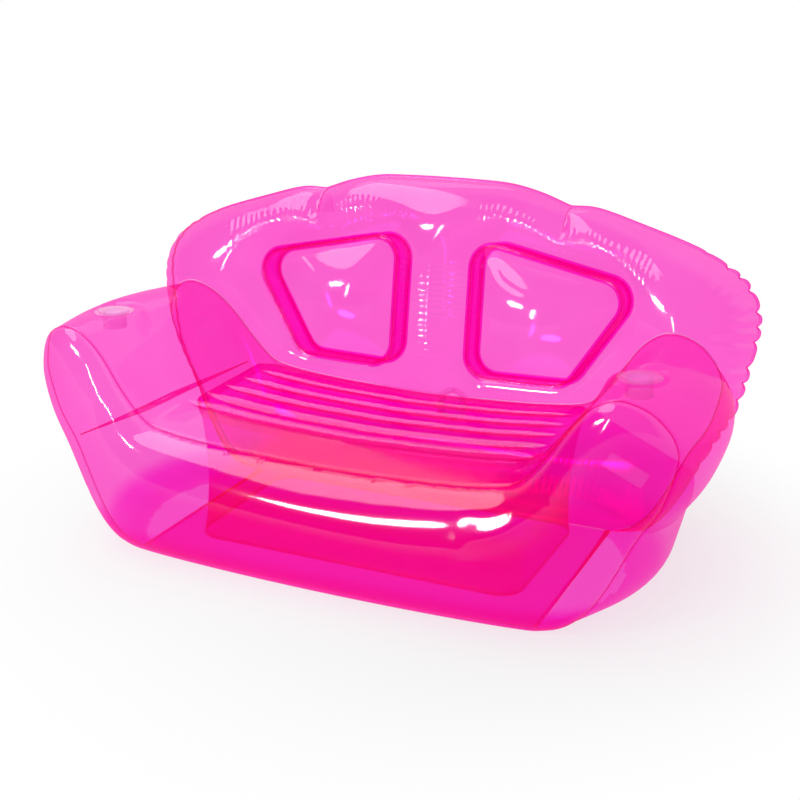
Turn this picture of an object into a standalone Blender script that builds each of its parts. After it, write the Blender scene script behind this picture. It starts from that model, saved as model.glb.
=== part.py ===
"""Inflatable two seat sofa, built as the welded film panels, ties and valves that it is made of.

Metres, +Z up, +X to the viewer's right, front towards -Y. Every film panel is drawn by its inner
face and grows outwards by the film's thickness. Panels that are welded together share the points
of their seam and keep a small weld clearance between them.
"""
import math

import bmesh
import bpy
import numpy as np
from mathutils import Matrix, Vector
from mathutils.geometry import delaunay_2d_cdt

# Film and welds
FILM = 0.0005
GAP = 0.0003
SEAM_PLAY = 0.0001
FLANGE = 0.005
RIM_SHARE = 2.6
SHEET_SPACING = 0.056
BACK_SPACING = 0.062
RING_OFFSET = 0.020
SEAM_SPACING = 0.042

# Base and arms
HALF_WIDTH = 0.706
ARM_HEIGHT = 0.488
SEAT_HEIGHT = 0.264
BASE_DEPTH = 0.510
ARM_TOP_DEPTH = 0.455
REAR_WIDTH_SHARE = 0.970
FRONT_BULGE = 0.090
FLANK_SETBACK = 0.045
CORNER_SETBACK = 0.012
FLOOR_BOW = 0.010
ARM_SIDE_BULGE = 0.062
WAIST_BULGE = 0.048
LOWER_SIDE_BULGE = 0.078
ARM_TOP_BULGE = 0.002
FOOT_BULGE = 0.008
DEPTH_SQUEEZE_SHARE = 0.52

# Half outline of the front panel above the seat: across as a share of HALF_WIDTH, up as a share
# of the arm's rise over the seat
ARM_OUTLINE_SHARES = (
    (0.000, 0.00), (0.230, 0.02), (0.403, 0.05), (0.534, 0.10), (0.600, 0.18), (0.667, 0.41),
    (0.742, 0.76), (0.803, 0.94), (0.864, 1.00), (0.927, 0.93), (0.973, 0.77), (0.997, 0.60),
    (1.000, 0.47), (0.983, 0.23), (0.958, 0.02),
)
# Below the seat: across as before, up as a share of SEAT_HEIGHT
SIDE_OUTLINE_SHARES = (
    (0.910, 0.81), (0.871, 0.59), (0.831, 0.37), (0.784, 0.18), (0.725, 0.05), (0.653, 0.00),
)

# Back
BACK_HALF_WIDTH = 0.738
BACK_HEIGHT = 0.753
BACK_LEAN = 0.154
NOTCH_ACROSS_SHARE = 0.413
NOTCH_UP_SHARE = 0.943
BACK_FILL = 2.05
REAR_FILL = 1.35
WINDOW_FILL_SHARE = 0.95
WINDOW_HALF_DEPTH = 0.049
WINDOW_CORNER_RADIUS = 0.045
TIE_LENGTH = 0.052
TIE_HALF_DEPTH = 0.046
TIE_STEPS = 4

# Middle lobe and shoulder of the back's half outline: shares of BACK_HALF_WIDTH and BACK_HEIGHT
CREST_SHARES = ((0.000, 1.000), (0.110, 0.999), (0.221, 0.994), (0.320, 0.974))
SHOULDER_SHARES = (
    (0.500, 0.941), (0.630, 0.907), (0.800, 0.855), (0.905, 0.806), (0.965, 0.760), (1.000, 0.692),
    (1.004, 0.621), (0.992, 0.550), (0.980, 0.480), (0.962, 0.410), (0.928, 0.340), (0.888, 0.266),
    (0.852, 0.195), (0.815, 0.125), (0.772, 0.062), (0.718, 0.018), (0.640, 0.000),
)
# Corners of one window, by the same two sizes
WINDOW_CORNER_SHARES = ((0.128, 0.412), (0.455, 0.420), (0.652, 0.722), (0.126, 0.826))

# Seat baffle and the lengthwise webs inside it
BAFFLE_HALF_LENGTH = 0.412
BAFFLE_FRONT = 0.150
BAFFLE_REAR_MARGIN = 0.016
BAFFLE_FOOT_HALF_LENGTH = 0.382
BAFFLE_FOOT_FRONT = 0.106
BAFFLE_CORNER_RADIUS = 0.050
BAFFLE_WAIST = 0.015
WEB_COUNT = 4
BAFFLE_STRAIGHT_SHARE = 0.850
BAFFLE_SIDE_STEPS = 12
BAFFLE_ROWS = 5
RIB_COLUMNS = 6
WEB_ROWS = 3
WEB_END_DRAW_SHARE = 0.025
RIB_ROW_SHARES = (0.25, 0.50, 0.75)
FRONT_ROW_SHARES = (0.35, 0.70)
CHANNEL_CROWN = 0.013
SEAT_FRONT_CROWN = 0.012

# Slanted web across each arm, with its slot
ARM_WEB_INNER = 0.436
ARM_WEB_OUTER_UP_SHARE = 0.830
ARM_WEB_START = 0.030
ARM_WEB_END = 0.425
ARM_WEB_ROWS = 10
ARM_WEB_STRIPS = 6
ARM_WEB_SLOT_ROWS = (4, 6)
ARM_WEB_SLOT_STRIPS = (2, 4)

# Air valve: flange and neck in one, flap under the neck, flip cap on a tongue
VALVE_ACROSS = 0.600
VALVE_DEPTH = 0.155
VALVE_SPOT_RADIUS = 0.048
VALVE_BLEND = 0.030
VALVE_HOLE_RADIUS = 0.0290
VALVE_FLANGE_RADIUS = 0.0440
VALVE_FLANGE_THICKNESS = 0.0020
VALVE_NECK_RADIUS = 0.0265
VALVE_WALL = 0.0020
VALVE_NECK_DEPTH = 0.0330
VALVE_RIM_RADIUS = 0.0310
FLAP_THICKNESS = 0.0010
CAP_RADIUS = 0.0335
CAP_THICKNESS = 0.0022
CAP_PLUG_DEPTH = 0.0075
CAP_PLUG_CLEARANCE = 0.0008
CAP_PLUG_WALL = 0.0016
CAP_TAB_LENGTH = 0.0060
CAP_TAB_WIDTH = 0.0120
TONGUE_WIDTH = 0.0100
TONGUE_THICKNESS = 0.0012
BARREL_RADIUS = 0.0013
BARREL_INSET = 0.0020
REAR_VALVE_HEIGHT = 0.205
FINE_STEPS = 24
ROUND_STEPS = 28
BARREL_STEPS = 12
HOLE_STEPS = 16

FILM_PINK = (1.0, 0.085, 0.55, 0.45)
VALVE_CLEAR = (1.0, 0.42, 0.72, 0.80)

ARM_RISE = ARM_HEIGHT - SEAT_HEIGHT


def material(name, colour, roughness):
    """A plain plastic finish with the given colour, alpha and roughness."""
    finish = bpy.data.materials.new(name)
    finish.use_nodes = True
    shader = finish.node_tree.nodes["Principled BSDF"]
    shader.inputs["Base Color"].default_value = colour[:3] + (1.0,)
    shader.inputs["Alpha"].default_value = colour[3]
    shader.inputs["Roughness"].default_value = roughness
    shader.inputs["Metallic"].default_value = 0.0
    finish.diffuse_color = colour
    return finish


def smooth_path(points, spacing):
    """A curve through the points, cut into even steps of about the given spacing."""
    points = np.array(points, float)
    padded = np.vstack([2 * points[0] - points[1], points, 2 * points[-1] - points[-2]])
    fine = []
    for index in range(1, len(padded) - 2):
        before, start, end, after = padded[index - 1:index + 3]
        for step in np.linspace(0.0, 1.0, FINE_STEPS, endpoint=False):
            fine.append(0.5 * (2 * start + (end - before) * step
                               + (2 * before - 5 * start + 4 * end - after) * step ** 2
                               + (3 * start - before - 3 * end + after) * step ** 3))
    fine.append(points[-1])
    return even_steps(np.array(fine), spacing)


def even_steps(path, spacing):
    """The same path with points at equal distances along it."""
    length = path_length(path)
    count = max(2, round(length[-1] / spacing) + 1)
    places = np.linspace(0.0, length[-1], count)
    return np.column_stack([np.interp(places, length, path[:, axis]) for axis in range(2)])


def path_length(path):
    """Distance along the path at each of its points."""
    return np.concatenate([[0.0], np.cumsum(np.hypot(*np.diff(path, axis=0).T))])


def rounded_loop(corners, radius, spacing):
    """A closed outline with straight sides and round corners."""
    corners = np.array(corners, float)
    path = []
    for index, corner in enumerate(corners):
        back = corners[index - 1] - corner
        ahead = corners[(index + 1) % len(corners)] - corner
        back /= np.hypot(*back)
        ahead /= np.hypot(*ahead)
        half_angle = math.acos(np.clip(back @ ahead, -1.0, 1.0)) / 2
        centre = corner + (back + ahead) / np.hypot(*(back + ahead)) * radius / math.sin(half_angle)
        first = corner + back * radius / math.tan(half_angle)
        last = corner + ahead * radius / math.tan(half_angle)
        for share in np.linspace(0.0, 1.0, 7):
            arm = (first - centre) * (1 - share) + (last - centre) * share
            path.append(centre + arm / np.hypot(*arm) * radius)
    closed = np.vstack([path, path[:1]])
    return even_steps(closed, spacing)[:-1]


def inside(points, loop):
    """Which of the points lie inside the closed loop."""
    result = np.zeros(len(points), bool)
    for start, end in zip(loop, np.roll(loop, -1, axis=0)):
        crosses = (start[1] > points[:, 1]) != (end[1] > points[:, 1])
        if not crosses.any():
            continue
        reach = start[0] + (points[:, 1] - start[1]) / (end[1] - start[1]) * (end[0] - start[0])
        result ^= crosses & (points[:, 0] < reach)
    return result


def inset_path(path, distance):
    """The path moved to its right hand side, its ends kept on the centre line."""
    ahead = np.gradient(path, axis=0)
    ahead /= np.hypot(*ahead.T)[:, None]
    moved = path + np.column_stack([ahead[:, 1], -ahead[:, 0]]) * distance
    moved[0, 0] = 0.0
    moved[-1, 0] = 0.0
    return moved


def triangulate(outline, loops, lines, extra, spacing, holes=(), bare=()):
    """Fill a closed outline with triangles that follow the inner loops, lines and points.

    Nothing is kept inside the holes, and the bare zones get no points besides those given.
    """
    points = []
    edges = []

    def add(path, closed):
        first = len(points)
        points.extend(path)
        edges.extend((first + i, first + i + 1) for i in range(len(path) - 1))
        if closed:
            edges.append((len(points) - 1, first))

    add(outline, True)
    for loop in loops:
        add(loop, True)
    for line in lines:
        add(line, False)
    points.extend(extra)
    spread = inner_points(outline, np.array(points), spacing)
    for zone in bare:
        spread = spread[~inside(spread, zone)]
    points.extend(spread)
    made, _, faces, _, _, _ = delaunay_2d_cdt([Vector(p) for p in points], edges, [], 1, SEAM_PLAY)
    made = np.array([tuple(p) for p in made])
    faces = np.array([face for face in faces if len(face) == 3])
    centres = made[faces].mean(axis=1)
    keep = inside(centres, outline)
    for hole in holes:
        keep &= ~inside(centres, hole)
    return made, faces[keep]


def inner_points(outline, taken, spacing):
    """Evenly spread points inside the outline, clear of the points that are taken."""
    low = outline.min(axis=0)
    high = outline.max(axis=0)
    rows = int((high[1] - low[1]) / (spacing * math.sqrt(0.75))) + 2
    columns = int((high[0] - low[0]) / spacing) + 2
    grid = np.array([
        (low[0] + spacing * (column + 0.5 * (row % 2)), low[1] + spacing * math.sqrt(0.75) * row)
        for row in range(rows) for column in range(columns)
    ])
    grid = grid[inside(grid, outline)]
    distance = np.hypot(grid[:, None, 0] - taken[None, :, 0], grid[:, None, 1] - taken[None, :, 1])
    return grid[distance.min(axis=1) > 0.62 * spacing]


def membrane(points, faces, held, fill, power=2):
    """Height of a film that is blown up between the heights at which it is held.

    The square of the height solves the membrane equation, which gives round cross sections. held
    maps a point to its height, and fill gives the fullness over each triangle. A power of one
    gives a film that is only stretched.
    """
    count = len(points)
    stiffness = np.zeros((count, count))
    push = np.zeros(count)
    for face, fullness in zip(faces, fill):
        corners = points[face]
        edge = np.roll(corners, -1, axis=0) - np.roll(corners, -2, axis=0)
        area = abs(edge[0, 0] * edge[1, 1] - edge[0, 1] * edge[1, 0]) / 2
        stiffness[np.ix_(face, face)] += edge @ edge.T / (4 * area)
        push[face] += fullness * area / 3
    known = np.array(sorted(held))
    free = np.setdiff1d(faces, known)
    raised = np.zeros(count)
    raised[known] = [held[index] ** power for index in known]
    raised[free] = np.linalg.solve(
        stiffness[np.ix_(free, free)],
        push[free] - stiffness[np.ix_(free, known)] @ raised[known],
    )
    return raised if power == 1 else np.sqrt(np.maximum(raised, 0.0))


def nearest(points, path):
    """For each point of the path, the index of the sheet point that lies on it."""
    distance = np.hypot(points[None, :, 0] - path[:, None, 0], points[None, :, 1] - path[:, None, 1])
    return distance.argmin(axis=1)


def film(name, places, faces, finish, outward, mirrored=True):
    """One film panel as an object: its inner face, mirrored where asked, and its thickness.

    outward gives the direction of the outside at a place, or is None for a film inside the air
    chambers, which is drawn by its middle.
    """
    mesh = bpy.data.meshes.new(name)
    mesh.from_pydata([tuple(p) for p in places], [], [tuple(int(i) for i in f) for f in faces])
    shape = bmesh.new()
    shape.from_mesh(mesh)
    bmesh.ops.recalc_face_normals(shape, faces=shape.faces)
    largest = max(shape.faces, key=lambda face: face.calc_area())
    if outward and largest.normal.dot(Vector(outward(largest.calc_center_median()))) < 0:
        bmesh.ops.reverse_faces(shape, faces=shape.faces)
    shape.to_mesh(mesh)
    shape.free()
    mesh.shade_smooth()
    mesh.materials.append(finish)
    panel = bpy.data.objects.new(name, mesh)
    bpy.context.collection.objects.link(panel)
    if mirrored:
        mirror = panel.modifiers.new("other_half", "MIRROR")
        mirror.merge_threshold = SEAM_PLAY
    wall = panel.modifiers.new("film", "SOLIDIFY")
    wall.thickness = FILM
    wall.offset = 1.0 if outward else 0.0
    return panel


def strip(name, rows, finish, closed=False, mirrored=False, gap_cells=()):
    """An inner film strip through rows of places, open at the cells that are left out."""
    rows = [np.array(row) for row in rows]
    count = len(rows[0])
    places = np.vstack(rows)
    faces = []
    for level in range(len(rows) - 1):
        for step in range(count if closed else count - 1):
            if (level, step) in gap_cells:
                continue
            after = (step + 1) % count
            first = level * count
            faces.append((first + step, first + after, first + count + after, first + count + step))
    return film(name, places, faces, finish, None, mirrored)


def front_outline():
    """Half outline of the front panel, from the middle of the seat over the arm to the floor."""
    upper = [(x * HALF_WIDTH, SEAT_HEIGHT + up * ARM_RISE) for x, up in ARM_OUTLINE_SHARES]
    lower = [(x * HALF_WIDTH, FILM + up * (SEAT_HEIGHT - FILM)) for x, up in SIDE_OUTLINE_SHARES]
    return smooth_path(upper + lower, SEAM_SPACING)


def arm_share(path):
    """How far each point of the half outline stands in the arm, 0 at the seat and 1 at its top."""
    return np.clip((path[:, 1] - SEAT_HEIGHT) / ARM_RISE, 0.0, 1.0)


def front_depth(path):
    """How far each point of the front seam is drawn back: most on the arm's outer flank."""
    length = path_length(path)
    top = length[np.argmax(path[:, 1])]
    widest = length[np.argmax(path[:, 0])]
    rise = np.clip((length - top) / (widest - top), 0.0, 1.0)
    fall = np.clip((length - widest) / (length[-1] - widest), 0.0, 1.0)
    flank = FLANK_SETBACK * rise * rise * (3 - 2 * rise)
    return flank - (FLANK_SETBACK - CORNER_SETBACK) * fall * fall


def floor_front(path):
    """Front edge of the floor from the outline's end to the middle, and its depth there."""
    line = even_steps(np.array([path[-1], (0.0, FILM)]), SHEET_SPACING)
    return line, (CORNER_SETBACK + FLOOR_BOW) * (line[:, 0] / path[-1, 0]) ** 2 - FLOOR_BOW


def rear_depth(path):
    """Depth at which each point of the arm and seat sheet meets the back."""
    return BASE_DEPTH - (BASE_DEPTH - ARM_TOP_DEPTH) * arm_share(path) ** 2


def weld_plane(height):
    """Depth of the plane in which the two back sheets are welded, which leans back."""
    return BASE_DEPTH + FILM + 2 * GAP + BACK_LEAN * height


def off_plane(points, swell):
    """Places at a distance square to the weld plane, to the front where it is negative."""
    upright = 1 / math.hypot(1.0, BACK_LEAN)
    depth = weld_plane(points[:, 1]) + swell * upright
    return np.column_stack([points[:, 0], depth, points[:, 1] - swell * upright * BACK_LEAN])


def on_plane(places):
    """Points of the weld plane seen from the front, and distances in front, of some places."""
    upright = 1 / math.hypot(1.0, BACK_LEAN)
    swell = (weld_plane(places[:, 2]) - places[:, 1]) * upright
    return np.column_stack([places[:, 0], places[:, 2] - swell * upright * BACK_LEAN]), swell


def front_panel(finish):
    """The panel that closes the base and both arms, blown forward, and its foremost depth."""
    path = front_outline()
    floor_line, floor_depth = floor_front(path)
    edge = np.vstack([path, floor_line[1:]])
    edge_depth = np.concatenate([front_depth(path), floor_depth[1:]])
    rim = inset_path(edge, SHEET_SPACING / 5)
    middle = even_steps(np.array([rim[-1], rim[0]]), SHEET_SPACING)
    outline = np.vstack([edge, middle])
    points, faces = triangulate(outline, [], [], rim[1:-1], SHEET_SPACING)
    seam = nearest(points, edge)
    height = membrane(points, faces, {index: 0.0 for index in seam}, np.ones(len(faces)))
    drawn_back = membrane(points, faces, dict(zip(seam, edge_depth)), np.zeros(len(faces)), power=1)
    depth = drawn_back - GAP - height * (FRONT_BULGE - FILM - GAP) / (height - drawn_back).max()
    places = np.column_stack([points[:, 0], depth, points[:, 1]])
    film("front_panel", places, faces, finish, lambda place: (0.0, -1.0, 0.0))
    return float(depth.min()) - FILM


class BaseSheet:
    """Shape of the one long sheet that makes the side, arm, seat, arm and side of the base."""

    def __init__(self):
        self.path = front_outline()
        self.length = path_length(self.path)
        ahead = np.gradient(self.path, axis=0)
        self.normal = np.column_stack([-ahead[:, 1], ahead[:, 0]])
        self.normal /= np.hypot(*self.normal.T)[:, None]
        self.normal[0] = (0.0, 1.0)
        self.front = front_depth(self.path)
        self.rear = rear_depth(self.path)
        self.top = self.length[np.argmax(self.path[:, 1])]
        valve = self.before_top(VALVE_ACROSS, 0)
        self.spot_height = float(np.interp(valve, self.length, self.path[:, 1]))

    def bulge(self, along):
        """Outward swell half way back, by the distance along the half outline."""
        seat_end = self.before_top(BAFFLE_HALF_LENGTH, 0)
        widest = self.length[np.argmax(self.path[:, 0])]
        waist = self.arm_web_outer()
        end = self.length[-1]
        keys = (0.0, seat_end, self.top, widest, waist, (waist + end) / 2, end)
        swell = (0.0, 0.0, ARM_TOP_BULGE, ARM_SIDE_BULGE, WAIST_BULGE, LOWER_SIDE_BULGE, FOOT_BULGE)
        return np.interp(along, keys, swell)

    def before_top(self, value, axis):
        """Distance along the half outline to a place before the arm's top, by one coordinate."""
        chosen = self.length <= self.top
        return float(np.interp(value, self.path[chosen, axis], self.length[chosen]))

    def arm_web_outer(self):
        """Distance along the half outline to the outer weld of the arm web."""
        after = self.length >= self.top
        height = self.path[after, 1][::-1]
        return float(np.interp(ARM_WEB_OUTER_UP_SHARE * SEAT_HEIGHT, height, self.length[after][::-1]))

    def arm_web_inner(self):
        """Distance along the half outline to the inner weld of the arm web."""
        return self.before_top(ARM_WEB_INNER, 0)

    def crown(self, across, back):
        """Rise of the seat between the weld lines of the baffle and its webs."""
        rise = np.zeros(len(across))
        lines = weld_lines()
        front = np.clip(back / lines[0], 0.0, 1.0)
        rise += np.where(back < lines[0], SEAT_FRONT_CROWN * 4 * front * (1 - front), 0.0)
        for near, far in zip(lines, lines[1:]):
            share = np.clip((back - near) / (far - near), 0.0, 1.0)
            rise += CHANNEL_CROWN * 4 * share * (1 - share)
        end = (BAFFLE_HALF_LENGTH - across) / (BAFFLE_HALF_LENGTH * (1 - BAFFLE_STRAIGHT_SHARE))
        return rise * np.clip(end, 0.0, 1.0)

    def place(self, flat):
        """Places in space of points given by distance along the half outline and depth."""
        along = flat[:, 0]
        across = np.interp(along, self.length, self.path[:, 0])
        height = np.interp(along, self.length, self.path[:, 1])
        side = np.column_stack([np.interp(along, self.length, self.normal[:, i]) for i in range(2)])
        side /= np.hypot(*side.T)[:, None]
        front = np.interp(along, self.length, self.front)
        share = flat[:, 1] / np.interp(along, self.length, self.rear)
        swell = self.bulge(along) * 4 * share * (1 - share) + self.crown(across, flat[:, 1])
        across = across * (1 - (1 - REAR_WIDTH_SHARE) * share) + side[:, 0] * swell
        height = np.maximum(height + side[:, 1] * swell, FILM)
        depth = GAP + flat[:, 1] * (1 - 2 * GAP / BASE_DEPTH) + front * (1 - share)
        spot = np.hypot(across - VALVE_ACROSS, depth - VALVE_DEPTH)
        blend = np.clip((spot - VALVE_SPOT_RADIUS - SEAM_PLAY) / VALVE_BLEND, 0.0, 1.0)
        blend = np.where(height > SEAT_HEIGHT + ARM_RISE / 2, blend * blend * (3 - 2 * blend), 1.0)
        height = self.spot_height + (height - self.spot_height) * blend
        return np.column_stack([across, depth, height])

    def circle(self, radius):
        """A circle about the valve, in distance along the half outline and depth."""
        turns = np.linspace(0.0, 2 * math.pi, HOLE_STEPS, endpoint=False)
        depths = (VALVE_DEPTH + radius * np.sin(turns) - GAP) / (1 - 2 * GAP / BASE_DEPTH)
        widest = self.length[np.argmax(self.path[:, 0])]
        trial = np.linspace(0.0, widest, FINE_STEPS * len(self.length))
        along = []
        for across, depth in zip(VALVE_ACROSS + radius * np.cos(turns), depths):
            reached = self.place(np.column_stack([trial, np.full(len(trial), depth)]))[:, 0]
            along.append(np.interp(across, reached, trial))
        return np.column_stack([along, depths])


def weld_lines():
    """Depths of the seat's weld lines: baffle front, each web, baffle rear."""
    return np.linspace(BAFFLE_FRONT, BASE_DEPTH - BAFFLE_REAR_MARGIN, WEB_COUNT + 2)


def rib_line(half_length, depth):
    """Half of a line along the seat's ribs, from the middle outwards."""
    across = np.linspace(0.0, half_length * BAFFLE_STRAIGHT_SHARE, RIB_COLUMNS)
    return np.column_stack([across, np.full(RIB_COLUMNS, depth)])


def baffle_loop(half_length, front):
    """Half of the baffle's outline from above, from its front middle to its rear middle."""
    rear = BASE_DEPTH - BAFFLE_REAR_MARGIN
    corners = [(-half_length, front), (half_length, front), (half_length, rear), (-half_length, rear)]
    loop = rounded_loop(corners, BAFFLE_CORNER_RADIUS, SHEET_SPACING / 8)
    first = rib_line(half_length, front)
    last = rib_line(half_length, rear)[::-1]
    side = loop[loop[:, 0] > first[-1, 0]]
    order = np.argsort(np.arctan2(side[:, 0], (front + rear) / 2 - side[:, 1]))
    side = np.vstack([first[-1], side[order], last[0]])
    places = np.linspace(0.0, path_length(side)[-1], BAFFLE_SIDE_STEPS)[1:-1]
    side = np.column_stack([np.interp(places, path_length(side), side[:, i]) for i in range(2)])
    return np.vstack([first, side, last])


def on_seat(base, path):
    """Seat points given by across and depth, as distance along the half outline and depth."""
    narrowing = 1 - (1 - REAR_WIDTH_SHARE) * path[:, 1] / BASE_DEPTH
    chosen = base.length <= base.top
    along = np.interp(path[:, 0] / narrowing, base.path[chosen, 0], base.length[chosen])
    return np.column_stack([along, path[:, 1]])


def arm_weld(base, along):
    """Points of one weld of an arm web, as distance along the half outline and depth."""
    depths = np.linspace(ARM_WEB_START, ARM_WEB_END, ARM_WEB_ROWS)
    return np.column_stack([np.full(ARM_WEB_ROWS, along), depths])


def arm_and_seat_sheet(base, finish):
    """The sheet from floor to floor over both arms and the seat, with its ribbed seat."""
    squeeze = np.array([1.0, DEPTH_SQUEEZE_SHARE])
    columns = base.length
    front = np.column_stack([columns, np.zeros(len(columns))])
    rear = np.column_stack([columns, base.rear])[::-1]
    side = even_steps(np.array([front[-1], rear[0]]), SHEET_SPACING / DEPTH_SQUEEZE_SHARE)[1:-1]
    lines = weld_lines()
    ribs = [near + (far - near) * share for near, far in zip(lines, lines[1:])
            for share in RIB_ROW_SHARES]
    ribs += [lines[0] * share for share in FRONT_ROW_SHARES]
    middle = np.array(sorted([*lines, *ribs]))
    middle = np.column_stack([np.zeros(len(middle)), middle])[::-1]
    outline = np.vstack([front, side, rear, middle])
    loop = on_seat(base, baffle_loop(BAFFLE_HALF_LENGTH, BAFFLE_FRONT))
    webs = [on_seat(base, rib_line(BAFFLE_HALF_LENGTH, depth)) for depth in lines[1:-1]]
    crests = [on_seat(base, rib_line(BAFFLE_HALF_LENGTH, depth))[1:] for depth in ribs]
    arm_welds = [arm_weld(base, base.arm_web_inner()), arm_weld(base, base.arm_web_outer())]
    hole = base.circle(VALVE_HOLE_RADIUS)
    ring = base.circle(VALVE_SPOT_RADIUS)
    end = base.before_top(BAFFLE_HALF_LENGTH * BAFFLE_STRAIGHT_SHARE, 0)
    ribbed = np.array([(0.0, 0.0), (end, 0.0), (end, lines[-1]), (0.0, lines[-1])])
    points, faces = triangulate(
        outline * squeeze, [hole * squeeze], [line * squeeze for line in [loop] + webs + arm_welds],
        np.vstack(crests + [ring]) * squeeze, SHEET_SPACING, [hole * squeeze], [ribbed * squeeze])
    return film("arm_and_seat_sheet", base.place(points / squeeze), faces, finish, base_outward)


def base_outward(place):
    """Outward direction over the base: away from a line through the middle of each half."""
    return (place.x - HALF_WIDTH / 2, 0.0, place.z - SEAT_HEIGHT / 2)


def floor_panel(base, finish):
    """The flat panel that the sofa stands on, welded all round."""
    start = np.array([base.length[-1], 0.0])
    end = np.array([base.length[-1], base.rear[-1]])
    side = even_steps(np.array([start, end]), SHEET_SPACING / DEPTH_SQUEEZE_SHARE)
    edge = base.place(side) - (2 * GAP, 0.0, 0.0)
    front, depth = floor_front(base.path)
    front = front[::-1][:-1]
    depth = depth[::-1][:-1] + 2 * GAP
    right = [(x, y, FILM) for x, y in zip(front[:, 0], depth)]
    right += [(x, min(max(y, edge[0, 1] + GAP), BASE_DEPTH - GAP), FILM) for x, y, _ in edge]
    left = [(-x, y, z) for x, y, z in reversed(right[1:])]
    faces = [tuple(range(len(right + left)))]
    return film("floor_panel", right + left, faces, finish, lambda place: (0.0, 0.0, -1.0), False)


def back_places(shares):
    """Places seen from the front, from shares of the back's half width and height."""
    size = (BACK_HALF_WIDTH, BACK_HEIGHT - 2 * FILM)
    return np.array(shares) * size + (0.0, FILM)


def back_outline():
    """Half outline of the back, from its crest past the notch and down to the floor."""
    notch = back_places([(NOTCH_ACROSS_SHARE, NOTCH_UP_SHARE)])
    crest = back_places(CREST_SHARES)
    shoulder = back_places(SHOULDER_SHARES)
    first = smooth_path(np.vstack([crest, notch]), SEAM_SPACING)
    second = smooth_path(np.vstack([notch, shoulder]), SEAM_SPACING)
    foot = even_steps(np.array([shoulder[-1], (0.0, FILM)]), SHEET_SPACING)
    return np.vstack([first, second[1:], foot[1:]])


def window_outline(grown=0.0):
    """Closed outline of the window on the +X side, grown outwards by a distance."""
    loop = rounded_loop(back_places(WINDOW_CORNER_SHARES), WINDOW_CORNER_RADIUS, SEAM_SPACING)
    ahead = np.roll(loop, -1, axis=0) - np.roll(loop, 1, axis=0)
    ahead /= np.hypot(*ahead.T)[:, None]
    return loop + np.column_stack([ahead[:, 1], -ahead[:, 0]]) * grown


def tie_line():
    """Points down the front view of a top tie, from just inside the notch."""
    across, up = back_places([(NOTCH_ACROSS_SHARE, NOTCH_UP_SHARE)])[0]
    heights = np.linspace(up - FLANGE, up - FLANGE - TIE_LENGTH, TIE_STEPS)
    return np.column_stack([np.full(TIE_STEPS, across), heights])


def tie_depths():
    """Half depth of a top tie at each of its points."""
    return TIE_HALF_DEPTH * np.sqrt(np.linspace(0.0, 1.0, TIE_STEPS))


def base_seam(base):
    """Where the arm and seat sheet meets the back: points of the weld plane and distances.

    The line runs just outside the sheet's edge, so that the back swells clear of it.
    """
    edge = base.path * (REAR_WIDTH_SHARE, 1.0) + base.normal * (FILM + 2 * GAP)
    behind = base.rear + FILM + 1.5 * GAP
    seam, swell = on_plane(np.column_stack([edge[:, 0], behind, edge[:, 1]]))
    last = np.flatnonzero(seam[:, 1] > FILM + FLANGE)[-1]
    step = (seam[last, 1] - FILM - FLANGE) / (seam[last, 1] - seam[last + 1, 1])
    foot = seam[last] + (seam[last + 1] - seam[last]) * step
    return np.vstack([seam[:last + 1], foot]), swell[:last + 2]


def spot_ring(radius):
    """Half circle about the rear valve, seen from the front, from below to above."""
    turns = np.linspace(-math.pi / 2, math.pi / 2, HOLE_STEPS // 2 + 1)
    ring = np.column_stack([radius * np.cos(turns), REAR_VALVE_HEIGHT + radius * np.sin(turns)])
    ring[[0, -1], 0] = 0.0
    return ring


def middle_line(stops):
    """Points up the middle of the back through all the stops."""
    stops = sorted(stops)
    line = [(0.0, stops[0])]
    for low, high in zip(stops, stops[1:]):
        line.extend(even_steps(np.array([(0.0, low), (0.0, high)]), BACK_SPACING)[1:])
    return np.array(line)


def back_layout(seam=None, with_valve=False):
    """Triangles of one back sheet seen from the front, and the heights at which it is held."""
    edge = back_outline()
    flange = inset_path(edge, FLANGE)
    rim = inset_path(edge, RIM_SHARE * FLANGE)
    extra = rim[1:-1]
    lines = [tie_line(), flange]
    holes = []
    if with_valve:
        hole = spot_ring(VALVE_HOLE_RADIUS)
        ring = spot_ring(VALVE_SPOT_RADIUS)
        lower = middle_line([flange[-1, 1], rim[-1, 1], ring[0, 1], hole[0, 1]])
        upper = middle_line([hole[-1, 1], ring[-1, 1], rim[0, 1], flange[0, 1]])
        middle = np.vstack([lower[:-1], hole, upper[1:]])
        extra = np.vstack([extra, ring[1:-1]])
    else:
        middle = middle_line([flange[-1, 1], rim[-1, 1], seam[0, 1], rim[0, 1], flange[0, 1]])
        lines.append(seam)
        far = np.hypot(extra[:, None, 0] - seam[None, :, 0], extra[:, None, 1] - seam[None, :, 1])
        extra = extra[far.min(axis=1) > FLANGE]
    outline = np.vstack([edge, middle])
    window = window_outline()
    extra = np.vstack([extra, window_outline(RING_OFFSET), window_outline(-RING_OFFSET)])
    points, faces = triangulate(outline, [window], lines, extra, BACK_SPACING, holes)
    held = {index: 0.0 for index in nearest(points, np.vstack([edge, flange]))}
    held.update({index: WINDOW_HALF_DEPTH for index in nearest(points, window)})
    held.update(zip(nearest(points, tie_line()), tie_depths()))
    return points, faces, held


def fullness(points, faces, partition, fill):
    """Fullness over each triangle: none where the base stands against the back."""
    centres = points[faces].mean(axis=1)
    result = np.full(len(faces), fill)
    result[inside(centres, window_outline())] = fill * WINDOW_FILL_SHARE
    if partition is not None:
        result[inside(centres, partition)] = 0.0
    return result


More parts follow.
